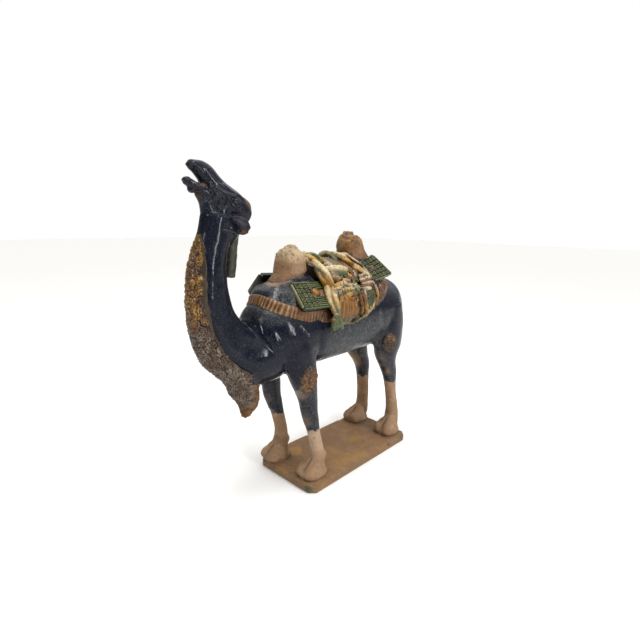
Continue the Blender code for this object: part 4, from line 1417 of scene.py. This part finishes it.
def make_bundle():
    """Rolled mats and bolsters that lie across the back between the humps."""
    cream, green, amber, olive, brown = (shade(name)
                                         for name in ("cream", "green", "amber", "olive", "brown"))
    honey, pink = shade("honey"), shade("pink")
    made = []
    clay = Clay()
    clay.limb([(x, BUNDLE_Y, z - 3, deep, high - 3) for x, z, deep, high in BUNDLE],
              between(brown, olive, 0.5), side=(0, 1, 0))
    skin = clay.press("pack_bundle", 2.4, 4, coloured=True)
    points = skin.points
    folds = np.sin(points[:, 1] * 0.33 + 1.5 * grain(points, 30, 111) + 0.02 * points[:, 0])
    skin.lift(1.6 * folds + 0.8 * rough(points, 16, 112))
    skin.tint(step(grain(points, 24, 113), 0.0, 0.6) * 0.7, brown)
    skin.tint(step(grain(points, 18, 114), 0.15, 0.6) * 0.7, green)
    skin.tint(step(grain(points, 15, 115), 0.3, 0.7) * 0.8, honey)
    skin.tint(step(points[:, 1], -92, -106) * 0.85, between(shade("umber"), shade("night"), 0.4))
    made.append(skin.finish(running_glaze("bundle_glaze", pooled=0.7, speckle=0.3), 4, 1.2))

    rolls = (
        # across the back: y, z, droop, radius, reach, glazes
        (-98, 521, 22, 8.5, 78, ("brown", "olive", "brown", "olive", "brown")),
        (-88, 530, 24, 9.5, 62, ("amber", "honey", "cream", "honey", "amber")),
        (-76, 534, 23, 8.5, 66, ("brown", "pink", "brown", "pink", "brown")),
        (-63, 535, 23, 9.0, 66, ("green", "olive", "brown", "olive", "green")),
        (-50, 536, 22, 8.0, 60, ("olive", "brown", "olive", "brown", "olive")),
        (-36, 533, 24, 9.0, 62, ("pink", "olive", "green", "olive", "pink")),
        (-12, 522, 30, 12.0, 74, ("green", "olive", "cream", "olive", "green")),
        (4, 514, 30, 12.0, 80, ("olive", "green", "brown", "green", "olive")),
    )
    clay = Clay()
    for y, z, droop, radius, reach, names in rolls:
        path = [(t * reach, y, z - droop * t * t) for t in (-1, -0.7, -0.35, 0, 0.35, 0.7, 1)]
        glaze = run_of(*[(i / 4, shade(name)) for i, name in enumerate(names)])
        strand(clay, path, radius, glaze, points=26, steps=4)
    for sign in (-1, 1):
        bolster = run_of((0, pink), (0.3, cream), (0.75, cream), (1, honey))
        strand(clay, flip(((54, -106, 521), (64, -90, 524), (69, -72, 523), (72, -56, 519)), sign), 7.2,
               bolster, points=26)
        lower = run_of((0, olive), (0.5, green), (1, between(green, (0, 0, 0), 0.4)))
        strand(clay, flip(((68, -100, 511), (74, -80, 512), (78, -60, 509)), sign), 6.4, lower, points=26)
        tube = run_of((0, brown), (0.7, pink), (1, between(amber, pink, 0.5)))
        strand(clay, flip(((50, -93, 502), (64, -93, 501), (76, -93, 500)), sign), 7.6, tube, points=26)
        coil = [(sign * 81.5, -93 + r * math.cos(t), 500 + r * math.sin(t))
                for t, r in ((0.75 * k, 7.4 - 0.42 * k) for k in range(17))]
        strand(clay, coil, 1.7, between(pink, amber, 0.3), side=(1, 0, 0), points=10, steps=3)
    skin = clay.press("rolled_mats", 1.7, 3, coloured=True)
    points = skin.points
    skin.lift(0.7 * rough(points, 9, 116) + 0.4 * np.sin(points[:, 0] * 0.6 + 2 * grain(points, 20, 117)))
    skin.wash = skin.spread(skin.wash, 2)
    skin.tint(step(grain(points, 12, 118), 0.25, 0.7) * 0.45, pink)
    made.append(skin.finish(running_glaze("rolled_mats_glaze", pooled=0.8, speckle=0.3), 5, 1.1))
    return made


# Folds of the sack as tubes, and the hub and rim of its fans
SACK_TUBES = (
    (((88, -112, 484), (89, -98, 490), (86, -78, 491), (83, -58, 488), (83, -46, 486)), 5.6,
     ("brown", "honey", "cream", "pink", "olive")),
    (((93, -116, 478), (94, -98, 483), (91, -78, 484), (92, -60, 484), (94, -42, 485)), 4.4,
     ("honey", "cream", "brown", "cream", "green")),
    (((97, -117, 471), (98, -102, 476), (97, -84, 478), (99, -66, 478), (102, -50, 479)), 3.8,
     ("amber", "pink", "honey", "cream", "green")),
    (((101, -115, 465), (101, -100, 469), (99, -84, 472), (102, -68, 473), (105, -56, 474)), 3.2,
     ("umber", "green", "olive", "green", "green")),
    (((94, -106, 457), (99, -94, 461), (103, -80, 465), (105, -66, 467), (106, -58, 467)), 5.6,
     ("brown", "amber", "honey", "amber", "brown")),
    (((100, -96, 450), (106, -84, 453), (109, -70, 456), (110, -60, 459)), 4.0,
     ("umber", "amber", "brown", "umber")),
    (((112, -46, 462), (115, -47, 452), (117, -46, 440), (116, -42, 428), (111, -40, 417)), 4.6,
     ("umber", "amber", "brown", "amber", "umber")),
    (((108, -30, 474), (113, -33, 463), (117, -34, 450), (118, -30, 434), (115, -24, 417), (108, -22, 407)),
     5.4, ("brown", "pink", "brown", "honey", "amber", "umber")),
    (((90, 24, 486), (101, 25, 474), (110, 22, 460), (114, 17, 446), (115, 12, 432)), 4.6,
     ("olive", "pink", "honey", "olive", "brown")),
    (((114, 8, 450), (117, -1, 436), (117, -16, 422), (112, -34, 408), (105, -50, 400), (97, -58, 393)), 4.0,
     ("green", "honey", "cream", "olive", "olive", "brown")),
    (((104, -104, 412), (104, -88, 402), (102, -68, 397)), 4.5, ("umber", "olive", "umber")),
)
SACK_FANS = (
    (((86, -58, 490), (86, -53, 496), (86, -47, 500), (86, -40, 502), (85, -32, 501)),
     ((84, -82, 494), (82, -74, 503), (81, -60, 511), (80, -44, 515), (79, -27, 513)),
     ("brown", "pink", "brown", "honey")),
    (((83, -20, 503), (85, -20, 496), (90, -24, 489), (98, -28, 483), (106, -36, 478)),
     ((82, 5, 508), (87, 14, 501), (92, 17, 493), (101, 12, 483), (110, -4, 474)),
     ("pink", "brown", "cream", "brown")),
)


def make_sacks():
    """Tied sacks at either side: pleated pouch, gathered folds, knot, fans and hanging strips."""
    cream, green, amber, olive, brown = (shade(name)
                                         for name in ("cream", "green", "amber", "olive", "brown"))
    honey, umber = shade("honey"), shade("umber")
    made = []
    for word, sign, grain_size in (("left", 1, size("load_grain")), ("right", -1, 1.4 * size("load_grain"))):
        clay = Clay()
        clay.ball((sign * 88, -26, 440), (27, 66, 42), between(olive, brown, 0.4))
        pouch = run_of((0, umber), (0.15, between(olive, umber, 0.4)), (0.35, amber), (0.75, amber),
                       (1, honey))
        clay.limb(((sign * 95, -80, 403, 12, 24), (sign * 98, -84, 416, 17, 31),
                   (sign * 98, -86, 432, 18, 34),
                   (sign * 97, -87, 448, 17, 33), (sign * 94, -86, 461, 13, 28)), pouch)
        clay.ball((sign * 102, -66, 432), (17, 17, 24), amber)
        clay.limb(((sign * 103, -14, 473, 6, 14), (sign * 111, -10, 458, 7, 20), (sign * 113, -8, 442, 7, 18),
                   (sign * 111, -12, 427, 6, 10)), between(green, umber, 0.45))
        clay.ball((sign * 62, 96, 460), (18, 26, 24), brown)
        for path, radius, names in SACK_TUBES:
            glaze = run_of(*[(i / (len(names) - 1), shade(name)) for i, name in enumerate(names)])
            strand(clay, flip(path, sign), radius, glaze, points=18)
        ribs = bpy.context.scene.camel_sizes.ribs
        for inner, outer, names in SACK_FANS:
            hubs, rims = np.array(fill_in(inner, 6)), np.array(fill_in(outer, 6))
            for rib in range(ribs):
                spot = round(rib * (len(hubs) - 1) / (ribs - 1))
                hub, rim = hubs[spot], rims[spot]
                middle = (hub + rim) / 2 + (2.5, 0, 0)
                path = [(*hub, 0.6), (*middle, 1.0), (*rim, 1.0)]
                strand(clay, flip(path, sign), 3.1, shade(names[rib % len(names)]), side=(1, 0, 0), points=14,
                       steps=4)
        clay.ball((sign * 84, -38, 492), (7, 14, 10), between(umber, green, 0.4))
        for turn in range(4):
            lean = turn * 0.8
            path = [(sign * 92, -40 + 11 * math.cos(lean + t), 490 + 7 * math.sin(lean + t))
                    for t in (0, 1.2, 2.4)]
            strand(clay, path, 1.8, shade(("olive", "umber", "green", "cream")[turn]), side=(1, 0, 0),
                   points=10)
        clay.ball((sign * 103, -48, 476), (8, 11, 9), between(green, cream, 0.2))
        clay.ball((sign * 105, -42, 467), (7, 9, 7), green)
        skin = clay.press(word + "_sack", grain_size, 2, coloured=True)
        points = skin.points
        x, y, z = points.T
        centre = -86 + 0.1 * (z - 440)
        over = step(np.abs(y - centre), 36, 28) * step(z, 458, 450) * step(sign * skin.normals[:, 0], 0, 0.4)
        over = over * step(z, 398, 406)
        pleats = np.sin((y - centre) * 0.62 + 1.3 * grain(points * (1, 1, 0.4), 18, 121))
        creases = step(np.abs(grain(points * (1, 1, 0.5), 13, 126)), 0.14, 0.0) * (1 - over)
        skin.lift(over * 0.7 * pleats - 1.3 * creases + 1.1 * rough(points, 11, 122))
        skin.wash = skin.spread(skin.wash, 2)
        skin.tint(over * step(pleats, 0.0, -0.9) * 0.6, brown)
        skin.tint(over * step(pleats, 0.6, 0.95) * step(y, -96, -110) * 0.6, honey)
        skin.tint(over * step(z, 428, 408) * 0.75, between(olive, umber, 0.45))
        skin.tint(creases * 0.7, umber)
        skin.tint(step(grain(points, 9, 123), 0.2, 0.6) * 0.45, between(brown, amber, 0.5))
        skin.tint(step(grain(points, 12, 124), 0.4, 0.8) * 0.4, olive)
        skin.marks["hollow"] = skin.hollow(4, 0.8) * (1 - 0.6 * over)
        made.append(skin.finish(running_glaze(word + "_sack_glaze", gloss=(0.14, 0.4), bare=0.12, pooled=1.0,
                                              speckle=0.3), 4, 0.8))
    return made


def make_plinth():
    clay = Clay()
    clay.slab((PLINTH_CENTRE_X - PLINTH_WIDTH / 2, -PLINTH_LENGTH / 2, 0),
              (PLINTH_CENTRE_X + PLINTH_WIDTH / 2, PLINTH_LENGTH / 2, PLINTH_HEIGHT))
    upright = [edge for edge in clay.bm.edges
               if abs(edge.verts[0].co.z - edge.verts[1].co.z) > PLINTH_HEIGHT / 2]
    bmesh.ops.bevel(clay.bm, geom=upright, affect="EDGES", offset=PLINTH_CORNER, segments=1, profile=0.5,
                    material=-1)
    skin = clay.press("plinth", 3.6, 1)
    points = skin.points
    x, y, z = points.T
    top = step(z, PLINTH_HEIGHT - 2, PLINTH_HEIGHT - 0.5)
    margin = np.minimum(PLINTH_WIDTH / 2 - np.abs(x - PLINTH_CENTRE_X), PLINTH_LENGTH / 2 - np.abs(y))
    rim = step(margin, 9, 0) * step(z, 4, 16)
    chips = rim * step(rough(points, 24, 131), 0.0, 0.7) * 3.0
    height = 0.5 * rough(points, 34, 132) * top - 0.4 * top + 0.4 * rough(points, 6, 133) - 0.5 - chips
    skin.lift(np.where(z < 1.5, 0, height))
    skin.points[:, 2] = np.maximum(skin.points[:, 2], 0)
    orange = step(np.hypot((x + 45) / 30, (y + 108) / 34) + 0.3 * rough(points, 20, 134), 1.0, 0.5)
    green_spot = step(np.linalg.norm(points - np.array((100, -200, 12)), axis=1), 16, 6)
    dark_end = step(y, 110, 180) * 0.6 + rim * 0.45 * step(rough(points, 30, 135), -0.4, 0.5)
    skin.wash[:] = shade("earth")
    skin.tint(orange, between(shade("honey"), shade("ochre"), 0.45))
    skin.tint(green_spot, between(shade("green"), shade("umber"), 0.3))
    skin.marks["washed"] = np.clip(0.75 * orange + 0.8 * green_spot + dark_end, 0, 1)
    return skin.finish(plinth_clay("plinth_clay"), 4, 1.0)


# Stage

def soft_light(name, place, target, wide, tall, power, tone=(1, 1, 1)):
    lamp = bpy.data.lights.new(name, "AREA")
    lamp.shape = "RECTANGLE"
    lamp.size, lamp.size_y = wide, tall
    lamp.energy = power
    lamp.color = tone
    holder = bpy.data.objects.new(name, lamp)
    holder.location = place
    holder.rotation_mode = "QUATERNION"
    holder.rotation_quaternion = (Vector(target) - Vector(place)).to_track_quat("-Z", "Y")
    bpy.context.scene.collection.objects.link(holder)


def make_camera():
    bearing, tilt, roll = (math.radians(angle) for angle in (CAMERA_BEARING, CAMERA_TILT, CAMERA_ROLL))
    right = Vector((math.cos(bearing), math.sin(bearing), 0))
    back = Vector((math.sin(bearing) * math.cos(tilt), -math.cos(bearing) * math.cos(tilt), math.sin(tilt)))
    up = back.cross(right)
    turned_right = math.cos(roll) * right + math.sin(roll) * up
    turned_up = -math.sin(roll) * right + math.cos(roll) * up
    place = Matrix.Identity(4)
    for i in range(3):
        place[i][0], place[i][1], place[i][2] = turned_right[i], turned_up[i], back[i]
    place.translation = Vector(CAMERA_PLACE) * MM
    lens = bpy.data.cameras.new("camera")
    lens.sensor_width = 36
    lens.lens = lens.sensor_width * CAMERA_FOCAL / IMAGE_WIDTH
    camera = bpy.data.objects.new("camera", lens)
    camera.matrix_world = place
    bpy.context.scene.collection.objects.link(camera)
    bpy.context.scene.camera = camera


def make_world():
    """Pale surroundings, brightest overhead and dimmer behind the camera."""
    world = bpy.data.worlds.new("studio")
    world.use_nodes = True
    nodes, links = world.node_tree.nodes, world.node_tree.links
    light = nodes["Background"]
    light.inputs["Color"].default_value = (1.0, 0.99, 0.97, 1)
    split = nodes.new("ShaderNodeSeparateXYZ")
    links.new(nodes.new("ShaderNodeTexCoord").outputs["Generated"], split.inputs[0])

    def ranged(socket, low, high, start, end):
        made = nodes.new("ShaderNodeMapRange")
        made.interpolation_type = "SMOOTHSTEP"
        for name, value in (("From Min", low), ("From Max", high), ("To Min", start), ("To Max", end)):
            made.inputs[name].default_value = value
        links.new(socket, made.inputs["Value"])
        return made.outputs["Result"]

    overhead = ranged(split.outputs["Z"], 0.0, 0.9, 0.24, 1.72)
    ahead = ranged(split.outputs["Y"], -0.9, 0.6, 0.35, 1.15)
    both = nodes.new("ShaderNodeMath")
    both.operation = "MULTIPLY"
    links.new(overhead, both.inputs[0])
    links.new(ahead, both.inputs[1])
    links.new(both.outputs[0], light.inputs["Strength"])
    backdrop = nodes.new("ShaderNodeBackground")
    backdrop.inputs["Color"].default_value = (1, 1, 1, 1)
    mixed = nodes.new("ShaderNodeMixShader")
    links.new(nodes.new("ShaderNodeLightPath").outputs["Is Camera Ray"], mixed.inputs[0])
    links.new(light.outputs[0], mixed.inputs[1])
    links.new(backdrop.outputs[0], mixed.inputs[2])
    links.new(mixed.outputs[0], nodes["World Output"].inputs["Surface"])
    bpy.context.scene.world = world


def make_stage():
    bm = bmesh.new()
    bmesh.ops.create_grid(bm, x_segments=8, y_segments=8, size=14)
    mesh = bpy.data.meshes.new("studio_floor")
    bm.to_mesh(mesh)
    bm.free()
    floor = bpy.data.objects.new("studio_floor", mesh)
    bpy.context.scene.collection.objects.link(floor)
    mat = Recipe("floor_paint")
    tone = mat.mix(mat.noise(400, 2), shade("floor"), between(shade("floor"), (1, 1, 1), 0.1))
    mesh.materials.append(mat.done(tone, mat.ramp(mat.noise(300, 2), 0.3, 0.7, 0.85, 0.95),
                                   mat.bump(mat.noise(3, 2), 0.05)))
    make_world()
    soft_light("overhead", (0.2, -0.4, 2.4), (0, -0.05, 0.3), 1.0, 1.0, 22)
    soft_light("window", (2.3, 0.0, 1.15), (0, -0.2, 0.4), 0.18, 1.3, 23)
    soft_light("front", (0.1, -2.4, 2.0), (0, -0.2, 0.4), 0.5, 0.5, 9)
    make_camera()
    view = bpy.context.scene.view_settings
    view.view_transform = "Standard"
    view.look = "None"


# Operators

def body_piece():
    """The finished body, which the trim lies on."""
    body = bpy.data.objects.get("camel_body")
    if body is None:
        raise RuntimeError("The body has to be made before its trim")
    return body


class CAMEL_OT_stage(bpy.types.Operator):
    """Pale floor, soft studio light and the camera of the photo"""
    bl_idname = "camel.stage"
    bl_label = "Stage"

    def execute(self, context):
        make_stage()
        return {"FINISHED"}


class CAMEL_OT_body(bpy.types.Operator):
    """Trunk, humps, neck, legs and feet in dark cobalt glaze over bare clay"""
    bl_idname = "camel.body"
    bl_label = "Body"

    def execute(self, context):
        make_body()
        return {"FINISHED"}


class CAMEL_OT_head(bpy.types.Operator):
    """Raised head with the open mouth, eyes and ears"""
    bl_idname = "camel.head"
    bl_label = "Head"

    def execute(self, context):
        make_head()
        return {"FINISHED"}


class CAMEL_OT_tuft(bpy.types.Operator):
    """Amber tuft on the crown and the hair down the nape"""
    bl_idname = "camel.tuft"
    bl_label = "Tuft"

    def execute(self, context):
        make_tuft()
        return {"FINISHED"}


class CAMEL_OT_mane(bpy.types.Operator):
    """Strip of snail curls down the front of the neck, with the beard below"""
    bl_idname = "camel.mane"
    bl_label = "Mane"

    def execute(self, context):
        make_mane()
        return {"FINISHED"}


class CAMEL_OT_hump_tips(bpy.types.Operator):
    """Rough dry caps on both humps"""
    bl_idname = "camel.hump_tips"
    bl_label = "Hump tips"

    def execute(self, context):
        make_hump_tips()
        return {"FINISHED"}


class CAMEL_OT_leg_curls(bpy.types.Operator):
    """Curled hair on the outside of the four upper legs"""
    bl_idname = "camel.leg_curls"
    bl_label = "Leg curls"

    def execute(self, context):
        make_leg_curls()
        return {"FINISHED"}


class CAMEL_OT_tail(bpy.types.Operator):
    """Tail that lies against the rump"""
    bl_idname = "camel.tail"
    bl_label = "Tail"

    def execute(self, context):
        make_tail()
        return {"FINISHED"}


class CAMEL_OT_trim(bpy.types.Operator):
    """Pleated ruffle round the blanket, laid on the body's surface"""
    bl_idname = "camel.trim"
    bl_label = "Blanket trim"

    def execute(self, context):
        make_trim(body_piece())
        return {"FINISHED"}


class CAMEL_OT_boards(bpy.types.Operator):
    """Four lattice boards with their round studs"""
    bl_idname = "camel.boards"
    bl_label = "Saddle boards"

    def execute(self, context):
        make_boards()
        return {"FINISHED"}


class CAMEL_OT_ropes(bpy.types.Operator):
    """Twisted cords and tassels that hold the pack"""
    bl_idname = "camel.ropes"
    bl_label = "Cords"

    def execute(self, context):
        make_ropes()
        return {"FINISHED"}


class CAMEL_OT_bundle(bpy.types.Operator):
    """Bundle and rolled mats across the back"""
    bl_idname = "camel.bundle"
    bl_label = "Rolled mats"

    def execute(self, context):
        make_bundle()
        return {"FINISHED"}


class CAMEL_OT_sacks(bpy.types.Operator):
    """Tied sacks at either side"""
    bl_idname = "camel.sacks"
    bl_label = "Sacks"

    def execute(self, context):
        make_sacks()
        return {"FINISHED"}


class CAMEL_OT_plinth(bpy.types.Operator):
    """Slab of bare clay under the feet"""
    bl_idname = "camel.plinth"
    bl_label = "Plinth"

    def execute(self, context):
        make_plinth()
        return {"FINISHED"}


STEPS = (CAMEL_OT_stage, CAMEL_OT_body, CAMEL_OT_head, CAMEL_OT_tuft,
         CAMEL_OT_mane, CAMEL_OT_hump_tips, CAMEL_OT_leg_curls,
         CAMEL_OT_tail, CAMEL_OT_trim, CAMEL_OT_boards, CAMEL_OT_ropes,
         CAMEL_OT_bundle, CAMEL_OT_sacks, CAMEL_OT_plinth)


class CAMEL_PT_panel(bpy.types.Panel):
    """Every step of the making, and the sizes and glazes they use"""
    bl_idname = "CAMEL_PT_panel"
    bl_label = "Glazed camel"
    bl_space_type = "VIEW_3D"
    bl_region_type = "UI"
    bl_category = "Camel"

    def draw(self, context):
        layout = self.layout
        for made in STEPS:
            layout.operator(made.bl_idname)
        for group in (context.scene.camel_sizes, context.scene.camel_glazes):
            column = layout.column()
            for name in group.__annotations__:
                column.prop(group, name)


CLASSES = (CamelGlazes, CamelSizes, *STEPS, CAMEL_PT_panel)


def register():
    for made in CLASSES:
        bpy.utils.register_class(made)
    bpy.types.Scene.camel_glazes = PointerProperty(type=CamelGlazes)
    bpy.types.Scene.camel_sizes = PointerProperty(type=CamelSizes)


def unregister():
    del bpy.types.Scene.camel_sizes
    del bpy.types.Scene.camel_glazes
    for made in reversed(CLASSES):
        bpy.utils.unregister_class(made)


def main():
    register()
    for made in STEPS:
        getattr(bpy.ops.camel, made.bl_idname.split(".")[1])()


if __name__ == "__main__":
    main()
